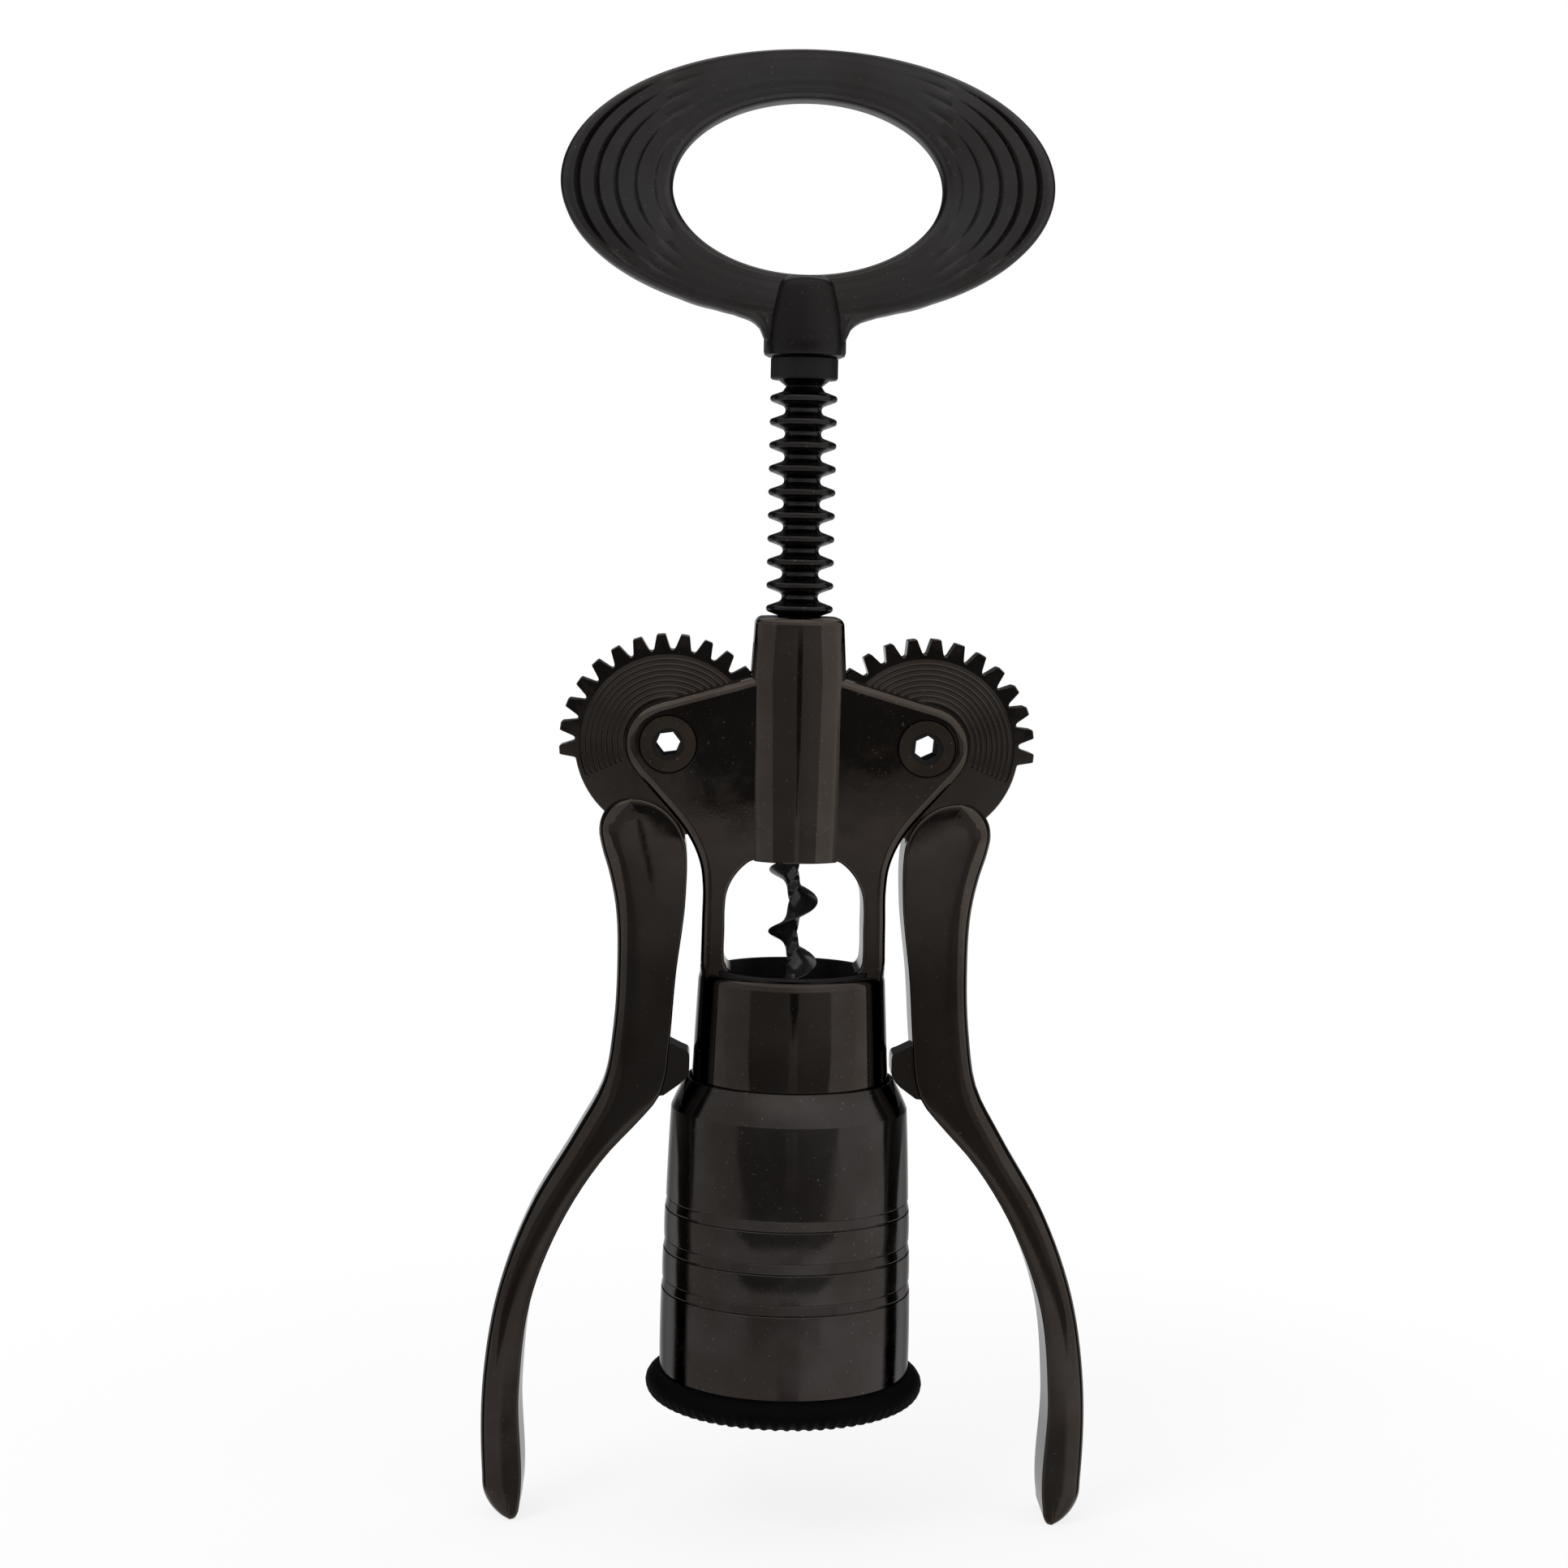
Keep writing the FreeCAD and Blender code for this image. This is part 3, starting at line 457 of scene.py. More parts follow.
def spun(piece, steps, axis=(0, 0, 1)):
    """Turns the section once round the axis and closes it."""
    bpy.ops.object.mode_set(mode="EDIT")
    bpy.ops.mesh.select_all(action="SELECT")
    bpy.ops.mesh.spin(steps=steps, angle=2 * pi, center=(0, 0, 0), axis=axis)
    bpy.ops.mesh.select_all(action="SELECT")
    bpy.ops.mesh.remove_doubles(threshold=0.001 * MM)
    bpy.ops.mesh.normals_make_consistent(inside=False)
    bpy.ops.object.mode_set(mode="OBJECT")
    return piece


def outwards(piece):
    """Merges what lies on one place and turns every face outwards."""
    pick(piece)
    bpy.ops.object.mode_set(mode="EDIT")
    bpy.ops.mesh.select_all(action="SELECT")
    bpy.ops.mesh.remove_doubles(threshold=0.002 * MM)
    bpy.ops.mesh.normals_make_consistent(inside=False)
    bpy.ops.object.mode_set(mode="OBJECT")
    return piece


def stacked(name, around, cuts, place, ends="NGON"):
    """A skin of rings of points; place gives each point from its number and its level."""
    bpy.ops.mesh.primitive_cylinder_add(
        vertices=around, radius=MM, depth=2 * MM, end_fill_type=ends
    )
    piece = named(name)
    top = 1
    for number in cuts:
        bpy.ops.object.mode_set(mode="EDIT")
        mesh = bmesh.from_edit_mesh(piece.data)
        bpy.ops.mesh.select_mode(type="EDGE")
        bpy.ops.mesh.select_all(action="DESELECT")
        for edge in mesh.edges:
            edge.select = abs(edge.verts[0].co.z - edge.verts[1].co.z) > 1e-4 * MM
        mesh.select_flush_mode()
        bmesh.update_edit_mesh(piece.data)
        bpy.ops.mesh.subdivide(number_cuts=number)
        bpy.ops.object.mode_set(mode="OBJECT")
        top *= number + 1
    for point in piece.data.vertices:
        turn = atan2(point.co.x, point.co.y) % (2 * pi)
        level = round((point.co.z / MM + 1) / 2 * top)
        point.co = Vector(place(round(turn / (2 * pi) * around) % around, level)) * MM
    return outwards(piece)


def smooth(piece, degrees_sharp=35, flat=False):
    """Smooth shading between sharp edges; flat keeps the large faces' own direction."""
    pick(piece)
    bpy.ops.object.shade_smooth_by_angle(angle=radians(degrees_sharp))
    if flat:
        even = piece.modifiers.new("even", "WEIGHTED_NORMAL")
        even.mode = "FACE_AREA"
        even.weight = 90
        even.keep_sharp = True
        bpy.ops.object.modifier_apply(modifier="even")


def dressed(piece, body, slot, *nodes):
    """Gives a piece its material, the body it rides on and the nodes it replaces."""
    piece.data.materials.clear()
    piece.data.materials.append(materials[slot])
    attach(piece, body)
    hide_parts(*nodes)


def bowed(low, high, bulge, count=4):
    """Points from low to high on a line that bulges outwards by this much."""
    points = []
    for n in range(count + 1):
        t = n / count
        r = low[0] + (high[0] - low[0]) * t + 4 * bulge * t * (1 - t)
        points.append((r, low[1] + (high[1] - low[1]) * t))
    return points


def fade(value, start, end):
    """1 before start, 0 after end and a smooth way between."""
    t = min(1.0, max(0.0, (value - start) / (end - start)))
    return 1 - t * t * (3 - 2 * t)


def through(points, count, bunched=0.85):
    """Points on a smooth curve through these, closer together near its ends if bunched."""
    knots = [Vector(point) for point in points]
    gaps = [(b - a).length for a, b in zip(knots, knots[1:])]
    slopes = [(b - a) / gap for a, b, gap in zip(knots, knots[1:], gaps)]
    leans = [slopes[0]]
    for before, after, gap, other in zip(slopes, slopes[1:], gaps, gaps[1:]):
        leans.append((before * other + after * gap) / (gap + other))
    leans.append(slopes[-1])
    fine = []
    for a, b, lean, other, gap in zip(knots, knots[1:], leans, leans[1:], gaps):
        for n in range(24):
            t = n / 24
            fine.append(
                a * (2 * t**3 - 3 * t**2 + 1)
                + lean * gap * (t**3 - 2 * t**2 + t)
                + b * (3 * t**2 - 2 * t**3)
                + other * gap * (t**3 - t**2)
            )
    fine.append(knots[-1])
    run = [0.0]
    for a, b in zip(fine, fine[1:]):
        run.append(run[-1] + (b - a).length)
    spaced = []
    place = 0
    for n in range(count + 1):
        t = n / count
        wanted = run[-1] * (t - bunched * sin(2 * pi * t) / (2 * pi))
        while place < len(fine) - 2 and run[place + 1] < wanted:
            place += 1
        part = (wanted - run[place]) / (run[place + 1] - run[place])
        spaced.append(fine[place].lerp(fine[place + 1], min(1, max(0, part))))
    return spaced


def slab(name, corners, half):
    """A plate with this outline, round the middle plane."""
    bpy.ops.mesh.primitive_circle_add(
        vertices=len(corners), radius=MM, fill_type="NGON"
    )
    piece = named(name)
    for point, (x, z) in zip(piece.data.vertices, corners):
        point.co = (x * MM, -half * MM, z * MM)
    bpy.ops.object.mode_set(mode="EDIT")
    bpy.ops.mesh.select_all(action="SELECT")
    bpy.ops.mesh.extrude_region_move(
        TRANSFORM_OT_translate={"value": (0, 2 * half * MM, 0)}
    )
    bpy.ops.object.mode_set(mode="OBJECT")
    return outwards(piece)


def drum(name, centre, radius, low, high, axis="Y", sides=72):
    """A round bar in millimetres, from low to high along an axis through the centre."""
    turn = (pi / 2, 0, 0) if axis == "Y" else (0, 0, 0)
    bpy.ops.mesh.primitive_cylinder_add(
        vertices=sides, radius=radius * MM, depth=(high - low) * MM, rotation=turn
    )
    piece = named(name)
    bpy.ops.object.transform_apply(rotation=True)
    middle = (low + high) / 2
    place = (centre[0], middle, centre[1]) if axis == "Y" else (*centre, middle)
    for point in piece.data.vertices:
        point.co += Vector(place) * MM
    return piece


def soften(piece, radius, segments, chosen):
    """Rounds the edges for which chosen is true."""
    pick(piece)
    bpy.ops.object.mode_set(mode="EDIT")
    bpy.ops.mesh.select_mode(type="EDGE")
    bpy.ops.mesh.select_all(action="DESELECT")
    mesh = bmesh.from_edit_mesh(piece.data)
    for edge in mesh.edges:
        edge.select = chosen(*(Vector(point.co) / MM for point in edge.verts))
    mesh.select_flush_mode()
    bmesh.update_edit_mesh(piece.data)
    bpy.ops.mesh.bevel(
        offset=radius * MM, segments=segments, affect="EDGES", clamp_overlap=False
    )
    bpy.ops.object.mode_set(mode="OBJECT")
    return outwards(piece)


def combined(piece, operation, other):
    """The union, difference or intersection of two solids."""
    pick(piece)
    change = piece.modifiers.new("change", "BOOLEAN")
    change.operation = operation
    change.solver = "EXACT"
    change.object = other
    bpy.ops.object.modifier_apply(modifier="change")
    bpy.data.objects.remove(other)
    return piece


def joined(piece, *others):
    """One solid of these solids."""
    for other in others:
        combined(piece, "UNION", other)
    return piece


# ------------------------------------------------------------------------- bell

BANDS = (  # bottom and top of each polished band: radius and height, and its bulge
    ((17.2, 0.62), (17.15, 12.0), 0.06),
    ((17.03, 13.56), (16.97, 17.5), 0.05),
    ((16.85, 19.06), (16.81, 23.2), 0.05),
    ((16.68, 24.76), (16.2, 37.2), 0.05),
)


def bell():
    """The polished sleeve: four bands with cones between, and the shoulder to the lip."""
    corners = [(16.0, 0.5), (17.1, 0.5)]
    for n, (low, high, bulge) in enumerate(BANDS):
        if n:
            below = BANDS[n - 1][1]
            # a fine line, the cone, and a finer line under the band's edge
            corners += [
                (below[0] - 0.2, below[1] + 0.1),
                (below[0] - 0.04, below[1] + 0.24),
                (low[0] - 0.14, low[1] - 0.14),
                (low[0] - 0.22, low[1] - 0.06),
            ]
        corners += bowed(low, high, bulge)
    corners += bowed((16.2 - 0.12, 37.5), (14.4, 40.9), 0.06, 3)
    corners += [(14.2, 41.3), (13.8, 41.3), (13.5, 40.5), (13.5, 28.0), (16.0, 25.8)]
    piece = section("bell", corners)
    round_corners(piece, 0.05, 8, 1)
    spun(piece, 160)
    smooth(piece, 5)
    dressed(piece, "frame", "plated_metal", "bell_sleeve")


RING = (
    (16.0, 0.5), (17.22, 0.5), (17.24, 0.72), (17.6, 0.66), (18.15, 0.36),
    (18.65, -0.1), (18.98, -0.65), (19.1, -1.25), (19.02, -1.8), (18.8, -2.3),
    (18.45, -2.72), (17.95, -3.05), (17.3, -3.26), (16.6, -3.3), (16.15, -3.1),
    (16.0, -2.6),
)
RIBS = 72
RIB_DEPTH = 0.42
RIBS_TOP = -1.2  # the ribs begin here and are at their deepest this much further down
RIBS_RUN = 1.3
RIBS_INNER_R = 16.9


def foot_ring():
    """The soft ring under the bell, with rounded ribs along its lower edge."""
    piece = section("foot_ring", RING)
    spun(piece, RIBS * 8)
    for point in piece.data.vertices:
        r = hypot(point.co.x, point.co.y)
        drop = min(1.0, max(0.0, (-point.co.z / MM + RIBS_TOP) / RIBS_RUN))
        if r < RIBS_INNER_R * MM or not drop:
            continue
        rib = abs(cos(atan2(point.co.y, point.co.x) * RIBS / 2))
        sunk = RIB_DEPTH * MM * drop * (1 - rib)
        point.co.x *= 1 - 0.7 * sunk / r
        point.co.y *= 1 - 0.7 * sunk / r
        point.co.z += 0.8 * sunk
    smooth(piece, 60)
    dressed(piece, "frame", "black_rubber", "bottle_ring")


# ------------------------------------------------------------------------- worm

WORM_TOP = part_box("worm_cross_pin")[0].z / MM - 1.1
WORM_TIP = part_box("worm")[0].z / MM
WORM_PITCH = 8.5
WORM_CUTS = (11, 21)
WORM_LEVELS = (WORM_CUTS[0] + 1) * (WORM_CUTS[1] + 1)
WORM_TAPER = 7.5  # the length over which it grows from its point
WORM_POINT = 0.05  # the point's share of the full section
WORM_START = 3.75  # how far below its top the coil points to the left
# half of the coil cut level: from the blunt outer edge to the flat behind the axis
WORM_HALF = (
    (3.37, 0.1), (3.33, 0.24), (3.2, 0.36), (2.3, 0.66), (1.5, 0.88), (0.8, 1.02),
    (0.35, 1.0), (-0.1, 0.9), (-0.42, 0.72), (-0.57, 0.5),
)


def worm():
    """The coil: a hollow-sided wedge that goes round the axis, ground to a point."""
    outline = WORM_HALF + tuple((x, -y) for x, y in reversed(WORM_HALF))

    def place(k, level):
        x, y = outline[k]
        z = WORM_TIP + (WORM_TOP - WORM_TIP) * level / WORM_LEVELS
        grown = min(1.0, WORM_POINT + (1 - WORM_POINT) * (z - WORM_TIP) / WORM_TAPER)
        around = pi + 2 * pi * (z - WORM_TOP + WORM_START) / WORM_PITCH
        return (
            grown * (x * cos(around) - y * sin(around)),
            grown * (x * sin(around) + y * cos(around)),
            z,
        )

    piece = stacked("worm_coil", len(outline), WORM_CUTS, place)
    smooth(piece, 24)
    dressed(piece, "spindle", "worm_coating", "worm")


# ----------------------------------------------------------------------- handle

LOOP_Z = 162.05
OPENING_Z = 161.65
# nested ovals from the opening to the outside, half widths and half heights: the five in
# between are the middles of the grooves
OVALS = (
    (18.15, 11.5), (20.55, 13.0), (23.1, 14.1), (25.7, 15.3), (28.25, 16.4),
    (30.85, 17.3), (33.1, 17.8),
)
# how near the middle each groove's upper and lower end come
GROOVE_ENDS = (
    (16.5, 17.5), (14.5, 16.0), (13.5, 15.8), (12.5, 17.0), (13.0, 22.0),
)
LOOP_HALF = 3.0
LOOP_EDGE = 1.35
LOOP_CROWN = 0.22
# side of the neck under the loop, down into the hub
NECK = (
    (0.0, 140.4), (4.6, 140.4), (5.5, 140.9), (5.58, 141.8), (5.85, 142.7),
    (6.5, 143.5), (7.7, 144.2), (9.8, 144.85), (12.3, 145.45), (17.3, 146.9),
)


def oval_at(layer, turn):
    """A point of the nested ovals, at a layer that may lie between two of them."""
    low = min(int(layer), len(OVALS) - 2)
    t = layer - low
    a = OVALS[low][0] * (1 - t) + OVALS[low + 1][0] * t
    b = OVALS[low][1] * (1 - t) + OVALS[low + 1][1] * t
    z = OPENING_Z + (LOOP_Z - OPENING_Z) * layer / (len(OVALS) - 1)
    return a * cos(turn), z + b * sin(turn)


def neck_reach(angle):
    """How far from the loop's middle its outside is, at an angle from straight down."""
    for (x0, z0), (x1, z1) in zip(NECK, NECK[1:]):
        a0, a1 = atan2(x0, LOOP_Z - z0), atan2(x1, LOOP_Z - z1)
        if a0 <= angle <= a1:
            t = (angle - a0) / (a1 - a0)
            return hypot(x0, LOOP_Z - z0) * (1 - t) + hypot(x1, LOOP_Z - z1) * t
    return 0.0


def loop():
    """The oval loop with its neck: crowned faces, round edges and five grooves a side."""
    arc = 6
    last = len(OVALS) - 1
    rows = [(0, 0.0, LOOP_HALF - LOOP_EDGE, None)]
    for n in range(1, arc + 1):
        turn = pi / 2 * n / arc
        rows.append(
            (0, LOOP_EDGE * (1 - cos(turn)), LOOP_HALF - LOOP_EDGE * (1 - sin(turn)), None)
        )
    for groove in range(1, len(OVALS) - 1):
        rows.append((groove - 0.5, 0, LOOP_HALF, None))
        for part in (-1, -0.72, -0.45, -0.18, 0, 0.18, 0.45, 0.72, 1):
            rows.append((groove, part, LOOP_HALF, groove))
    rows.append((len(OVALS) - 1.62, 0, LOOP_HALF, None))
    for n in range(arc, -1, -1):
        turn = pi / 2 * n / arc
        rows.append(
            (
                last,
                -LOOP_EDGE * (1 - cos(turn)),
                LOOP_HALF - LOOP_EDGE * (1 - sin(turn)),
                None,
            )
        )
    count = 2 * len(rows)
    around = 256
    bpy.ops.mesh.primitive_torus_add(
        major_segments=around,
        minor_segments=count,
        major_radius=25 * MM,
        minor_radius=5 * MM,
    )
    piece = named("handle_loop")
    for index, point in enumerate(piece.data.vertices):
        turn = 2 * pi * (index // count) / around
        row = index % count
        layer, shift, depth, groove = rows[row if row < len(rows) else count - 1 - row]
        x, z = oval_at(layer, turn)
        step = 0.05
        x1, z1 = oval_at(layer + step if layer < last else layer, turn)
        x0, z0 = oval_at(layer if layer < last else layer - step, turn)
        away = Vector((x1 - x0, z1 - z0)).normalized()
        if groove:
            width = OVALS[groove][0]
            upper, lower = GROOVE_ENDS[groove - 1]
            end = acos((upper if sin(turn) > 0 else lower) / width)
            lean = abs((turn + pi / 2) % pi - pi / 2)
            left = fade(lean, 0.25 * end, end)
            half = (0.2 + 0.05 * groove) * (0.35 + 0.65 * left)
            x += away.x * shift * half
            z += away.y * shift * half
            depth -= (0.12 + 0.06 * groove) * left * (1 - abs(shift)) ** 0.8
        else:
            x += away.x * shift
            z += away.y * shift
        if layer == last:
            angle = atan2(abs(x), LOOP_Z - z)
            reach = neck_reach(angle)
            own = hypot(x, LOOP_Z - z)
            if reach > own - 0.4:
                grow = max(1.0, (reach + shift) / own)
                x *= grow
                z = LOOP_Z + (z - LOOP_Z) * grow
        crown = LOOP_CROWN * (2 * min(1, max(0, layer / last)) - 1) ** 2
        y = (depth - crown) * (-1 if row < len(rows) else 1)
        point.co = (x * MM, y * MM, z * MM)
    bpy.ops.object.mode_set(mode="EDIT")
    bpy.ops.mesh.select_all(action="SELECT")
    bpy.ops.mesh.normals_make_consistent(inside=False)
    bpy.ops.object.mode_set(mode="OBJECT")
    return piece


HUB = (
    (0, 139.22), (4.9, 139.22), (5.4, 139.45), (5.55, 139.9), (5.55, 141.5),
    (5.4, 144.5), (5.1, 146.6), (4.75, 148.4), (4.5, 149.1), (4.05, 149.6),
    (3.2, 149.92), (1.6, 150.05), (0, 150.1),
)


def handle():
    """The loop on its tapered hub."""
    ring = loop()
    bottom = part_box("handle")[0].z / MM
    hub = section("handle_hub", [(x, max(z, bottom)) for x, z in HUB])
    spun(hub, 72)
    combined(ring, "UNION", hub)
    smooth(ring, 32)
    dressed(ring, "spindle", "satin_metal", "handle")


# ----------------------------------------------------------------------- levers

GEAR_HALF = 2.5
TEETH = 28  # as if the sector were a whole gear
ROOT_R = 12.65
TIP_R = 14.75
FIRST_TOOTH = 190.0  # degrees; the line to the spindle is at 180
LAST_TOOTH = -8.0
GEAR_TURN = 180 - 4.694  # the middle of one tooth
# a tooth and the gap after it: parts of the pitch, and height from root to tip
TOOTH = (
    (-0.5, 0.0), (-0.42, 0.02), (-0.365, 0.13), (-0.19, 0.93), (-0.15, 1.0),
    (0.15, 1.0), (0.19, 0.93), (0.365, 0.13), (0.42, 0.02),
)
BORE_R = 3.18
TURNED_LINES = (6.56, 7.28, 8.0, 8.72, 9.44, 10.16, 10.88, 11.6)
LINES_START = 203.0
LINES_END = -22.0
ARM_HALF = 4.7
# from the pivot: the arm's rounded shoulder to its tip, down the outer and inner side
ARM_OUTER = (
    (4.85, -7.4), (6.48, -7.72), (7.86, -8.65), (8.8, -10.05), (9.15, -11.7),
    (8.75, -14.2), (7.8, -17.3), (6.95, -21.0), (6.42, -31.0), (6.9, -39.5),
    (7.95, -46.0), (11.75, -53.4), (17.45, -63.2), (22.05, -75.5), (23.8, -86.0),
    (23.9, -101.0), (23.72, -103.3), (23.1, -104.8), (22.2, -105.9), (21.0, -106.75),
    (19.9, -107.1),
)
ARM_INNER = (
    (4.85, -7.4), (3.3, -7.56), (1.9, -7.98), (0.6, -8.7), (-0.52, -9.65),
    (-1.5, -10.85), (-2.2, -12.2), (-2.65, -13.7), (-2.8, -15.3), (-2.75, -21.0),
    (-1.6, -31.5), (-0.9, -41.0), (-0.35, -46.0), (0.35, -48.1), (2.0, -50.2),
    (7.95, -56.9), (13.55, -66.0), (17.45, -76.5), (18.85, -89.0), (18.6, -104.9),
    (18.8, -106.2), (19.25, -106.9), (19.9, -107.1),
)
ARM_STATIONS = 96
OUTER_ROUND = 2.3
INNER_ROUND = 0.35
END_ROUND = 0.45
ARM_CROWN = 0.04
NUB = (
    (-2.55, -41.7), (-3.3, -42.0), (-3.55, -42.3), (-3.65, -42.8), (-3.65, -44.5),
    (-3.45, -45.3), (-3.0, -46.0), (-2.4, -46.6), (-0.2, -48.2), (2.0, -48.5),
    (5.5, -47.0), (1.5, -39.7),
)
WEB = ((-2.5, -11.5), (-2.5, -14.0), (6.5, -17.0), (8.5, -10.4), (2.5, -7.6))


def sector_rows():
    """From bore to rim of one face: radius, depth below it, and whether it is turned."""
    rows = [(BORE_R, 0.1, False), (BORE_R + 0.1, 0, False), (6.1, 0, False)]
    for r in TURNED_LINES:
        rows += [(r - 0.24, 0, True), (r - 0.12, 0.012, True), (r, 0.04, True),
                 (r + 0.12, 0.012, True), (r + 0.24, 0, True)]
    return rows + [(12.1, 0, False)]


def toothed_sector():
    """The plate that turns on the pivot: teeth round it, turned lines in its faces."""
    rows = sector_rows()
    rim = 2
    half = len(rows) + rim
    count = 2 * half
    around = TEETH * len(TOOTH)
    bpy.ops.mesh.primitive_torus_add(
        major_segments=around,
        minor_segments=count,
        major_radius=9 * MM,
        minor_radius=2 * MM,
    )
    piece = named("lever_sector")
    pitch = 360 / TEETH
    for index, point in enumerate(piece.data.vertices):
        column, row = divmod(index, count)
        tooth, sample = divmod(column, len(TOOTH))
        part, height = TOOTH[sample]
        middle = GEAR_TURN - (tooth - 2) * pitch
        angle = middle - part * pitch
        if not LAST_TOOTH < middle < FIRST_TOOTH + 6:
            height = 0
        front = row < half
        place = row if front else count - 1 - row
        if place < len(rows):
            r, sunk, turned = rows[place]
            if turned and sunk:
                sunk *= fade(angle, LINES_START - 3, LINES_START)
                sunk *= 1 - fade(angle, LINES_END, LINES_END + 3)
        else:
            r = ROOT_R + (TIP_R - ROOT_R) * height - (0.14 if place == len(rows) else 0)
            sunk = 0 if place == len(rows) else 0.14
        y = GEAR_HALF - sunk
        turn = radians(angle)
        point.co = (r * cos(turn) * MM, (-y if front else y) * MM, r * sin(turn) * MM)
    return outwards(piece)


def arm():
    """The arm: soft outside, crisp inside, its faces a little crowned."""
    n = ARM_STATIONS
    outer, inner = through(ARM_OUTER, n), through(ARM_INNER, n)
    rim = outer + inner[-2:0:-1]
    count = len(rim)
    radius = []
    for k in range(count):
        near_end = min(1.0, min(k, abs(k - n), count - k) / 14)
        side = OUTER_ROUND if k < n else INNER_ROUND
        radius.append(END_ROUND + (side - END_ROUND) * near_end)
    inset = []
    for k, point in enumerate(rim):
        along = (rim[(k + 1) % count] - rim[k - 1]).normalized()
        inset.append(Vector((along.y, -along.x)) * -radius[k])
    signed = sum(a.x * b.y - b.x * a.y for a, b in zip(rim, rim[1:] + rim[:1]))
    if signed > 0:
        inset = [-step for step in inset]
    edge = [point - step for point, step in zip(rim, inset)]
    rounding = 6
    caps = (1.0, 0.8, 0.6, 0.4, 0.2, 0.08)
    levels = 2 * (len(caps) + rounding + 1)
    blunt = 15

    def place(k, level):
        back = level >= levels / 2
        level = levels - 1 - level if back else level
        if level < len(caps):
            station = min(n - blunt, max(blunt, k if k <= n else count - k))
            middle = (edge[station] + edge[(count - station) % count]) / 2
            share = caps[level]
            spot = edge[k].lerp(middle, share)
            y = ARM_HALF - ARM_CROWN * (1 - share) ** 2
        else:
            lean = pi / 2 * (level - len(caps)) / rounding
            spot = edge[k] + inset[k] * sin(lean)
            y = ARM_HALF - ARM_CROWN - radius[k] * (1 - cos(lean))
        return spot.x, (y if back else -y), spot.y

    return stacked("lever_arm", count, (levels - 2,), place, "NOTHING")


def levers():
    """A lever and its mirror image."""
    right = joined(
        toothed_sector(), arm(), slab("nub", NUB, GEAR_HALF), slab("web", WEB, GEAR_HALF)
    )
    right.name = right.data.name = "lever_right_casting"
    for point in right.data.vertices:
        point.co += Vector((PIVOT[0], 0, PIVOT[1])) * MM
    left = right.copy()
    left.data = right.data.copy()
    left.name = left.data.name = "lever_left_casting"
    bpy.context.scene.collection.objects.link(left)
    for point in left.data.vertices:
        point.co.x = -point.co.x
    for piece, side in ((left, "lever_left"), (right, "lever_right")):
        outwards(piece)
        smooth(piece, 32, True)
        dressed(piece, side, "plated_metal", side)
        piece.data.materials[0] = materials["cast_metal"]


# ------------------------------------------------------------- frame and liner

RACK_BORE_R = 4.65
COLUMN_R = 7.5
COLUMN_EDGE_R = 1.1
COLUMN_SIDES = ((5.6, 71.4), (6.4, 96.1), (5.9, 104.4))
BARREL = (
    (0.0, 28.0), (13.45, 28.0), (13.45, 41.3), (12.8, 54.6), (12.71, 55.2),
    (12.5, 55.67), (12.2, 55.92), (11.85, 56.0), (0.0, 56.0),
)
LINER = (
    (15.45, -2.1), (15.95, -2.1), (15.95, 25.55), (11.1, 26.05), (11.1, 56.05),
    (10.85, 56.3), (10.35, 56.3), (10.35, 24.0), (15.2, 24.0), (15.2, -1.85),
)
EAR_HALF = 4.9
# from the column's middle round the right ear and down the leg, and down the window
EAR_OUTER = (
    (0.0, 96.6), (2.5, 96.6), (5.0, 96.5), (9.0, 95.43), (14.0, 94.01), (17.4, 93.04),
    (19.04, 92.58), (20.6, 91.86), (22.0, 90.6), (22.95, 88.9), (23.25, 87.0),
    (22.95, 85.1), (21.76, 83.12), (20.1, 81.27), (18.4, 79.38), (16.8, 77.6),
    (14.96, 75.3), (13.59, 72.9), (12.74, 70.4), (12.45, 68.0), (12.45, 63.0),
    (12.5, 58.5), (12.6, 54.2),
)
EAR_INNER = (
    (0.0, 71.6), (2.5, 71.6), (5.0, 71.6), (5.95, 71.4), (6.95, 70.68), (8.0, 69.5),
    (8.75, 68.2), (9.23, 66.7), (9.37, 65.2), (9.38, 62.0), (9.38, 58.3), (9.32, 57.6),
    (9.12, 57.05), (8.8, 56.65), (8.45, 56.45), (8.3, 55.8), (8.4, 54.2),
)
EAR_ROUND = 1.3
WINDOW_ROUND = 0.45
# the barrel's roundness runs out into the legs
FEET = (
    (0.0, 54.3), (12.68, 54.3), (12.68, 55.6), (12.85, 57.0), (13.5, 59.6), (30, 59.6),
    (30, 110), (0, 110),
)
SLOT_HALF = 2.65
RACK_SLOT = ((-8, 77), (8, 77), (8, 100.8), (-8, 100.8))
GEAR_CLEAR = 0.35
BARREL_BORE_R = 11.15
BARREL_BORE_SIDES = 157  # not the barrel's own 160, so that no two corners meet
NUT_R = 3.15
SINK_R = 4.1
SINK_FACE = 3.6  # the sinks' bottoms, from the middle plane
BEYOND = 9  # outside the ears


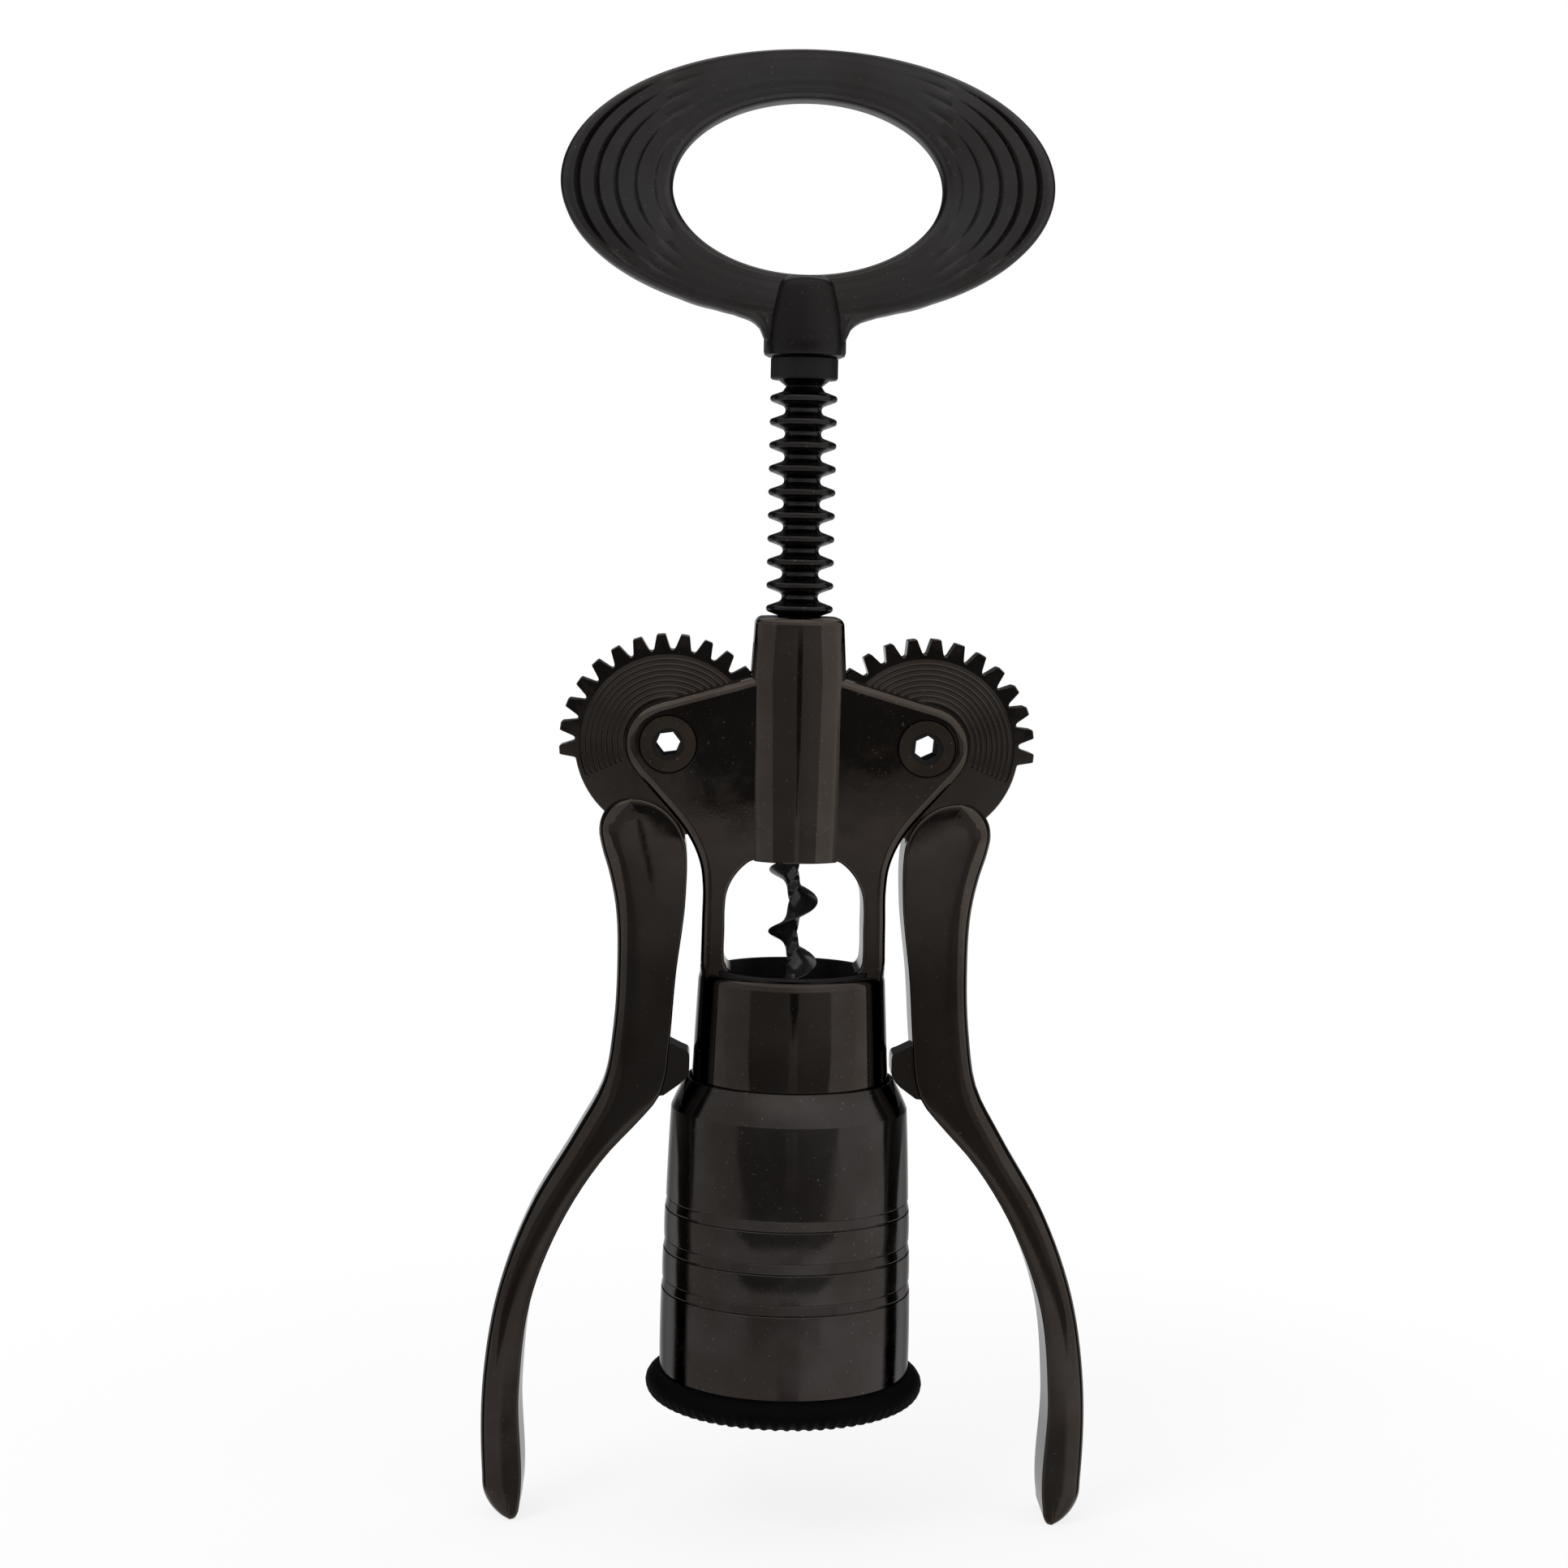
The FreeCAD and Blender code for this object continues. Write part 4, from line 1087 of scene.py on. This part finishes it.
def column():
    """The guide column: round in front and behind, flat sides, rounded at its top."""
    low, wide, top = COLUMN_SIDES
    edge = COLUMN_EDGE_R
    levels = [(low[1], 0.12), (low[1] + 0.12, 0), (wide[1], 0)]
    for n in range(9):
        turn = pi / 2 * n / 8
        levels.append((top[1] - edge + edge * sin(turn), edge * (1 - cos(turn))))
    arc = 60

    def place(k, level):
        z, inset = levels[level]
        start, end = (low, wide) if z < wide[1] else (wide, top)
        half = start[0] + (end[0] - start[0]) * (z - start[1]) / (end[1] - start[1]) - inset
        r = COLUMN_R - inset
        reach = asin(half / r)
        turn = reach * (2 * (k % (arc + 1)) / arc - 1)
        side = -1 if k <= arc else 1
        return -side * r * sin(turn), side * r * cos(turn), z

    return stacked("frame_body", 2 * (arc + 1), (len(levels) - 2,), place)


def ears_and_legs():
    """One thick plate round the window, soft along its outside."""
    outer = [(x, z) for x, z in through(EAR_OUTER, 84, 0.0)]
    inner = [(x, z) for x, z in through(EAR_INNER, 44, 0.0)]
    outline = outer + inner[::-1] + [(-x, z) for x, z in inner[1:]]
    outline += [(-x, z) for x, z in outer[:0:-1]]
    plate = slab("ears_and_legs", outline, EAR_HALF)
    rim = [Vector(point) for point in inner]

    def face_edge(a, b):
        return abs(a.y - b.y) < 0.01 and min(a.z, b.z) < 96.59 and max(a.z, b.z) > 54.21

    def near_window(point):
        spot = Vector((abs(point.x), point.z))
        return min((spot - other).length for other in rim) < 0.02

    plate = soften(
        plate, EAR_ROUND, 6,
        lambda a, b: face_edge(a, b) and not (near_window(a) or near_window(b)),
    )
    plate = soften(
        plate, WINDOW_ROUND, 3,
        lambda a, b: face_edge(a, b) and near_window(a) and near_window(b),
    )
    feet = section("feet", FEET)
    spun(feet, 160)
    return outwards(combined(plate, "INTERSECT", feet))


def frame_body():
    """The casting: column, ears and legs, and the barrel, with its bores and slots."""
    barrel = section("barrel", BARREL)
    spun(barrel, 160)
    body = joined(column(), ears_and_legs(), barrel)
    cutters = [
        drum("rack_bore", (0, 0), RACK_BORE_R, 60, 110, "Z", 96),
        drum("barrel_bore", (0, 0), BARREL_BORE_R, 20, 56.4, "Z", BARREL_BORE_SIDES),
        slab("rack_slot", RACK_SLOT, SLOT_HALF),
    ]
    for side in (-1, 1):
        pivot = (side * PIVOT[0], PIVOT[1])
        cutters += [
            drum("gear_slot", pivot, TIP_R + GEAR_CLEAR, -SLOT_HALF, SLOT_HALF, sides=128),
            drum("nut_hole", pivot, NUT_R, -BEYOND, BEYOND, sides=48),
            drum("front_sink", pivot, SINK_R, -BEYOND, -SINK_FACE, sides=96),
            drum("back_sink", pivot, SINK_R, SINK_FACE, BEYOND, sides=96),
        ]
    for cutter in cutters:
        combined(body, "DIFFERENCE", cutter)
    smooth(body, 30, True)
    dressed(body, "frame", "plated_metal", "frame_casting")
    body.data.materials[0] = materials["cast_metal"]


def liner():
    """The moulded cup in the barrel with the skirt round the bottle's mouth."""
    piece = section("neck_cup", LINER)
    round_corners(piece, 0.12, 30)
    spun(piece, 120)
    smooth(piece, 30)
    dressed(piece, "frame", "black_plastic", "neck_liner")


# ------------------------------------------------------------------- the scene

camera()
world()
floor()
lamp("key", (-0.6, -0.7, 0.9), (0, 0, 0.08), 0.5, 5)
materials = finishes()
dress_cad_nodes(materials)
bell()
foot_ring()
worm()
handle()
levers()
frame_body()
liner()
bpy.context.scene.view_settings.view_transform = "Standard"
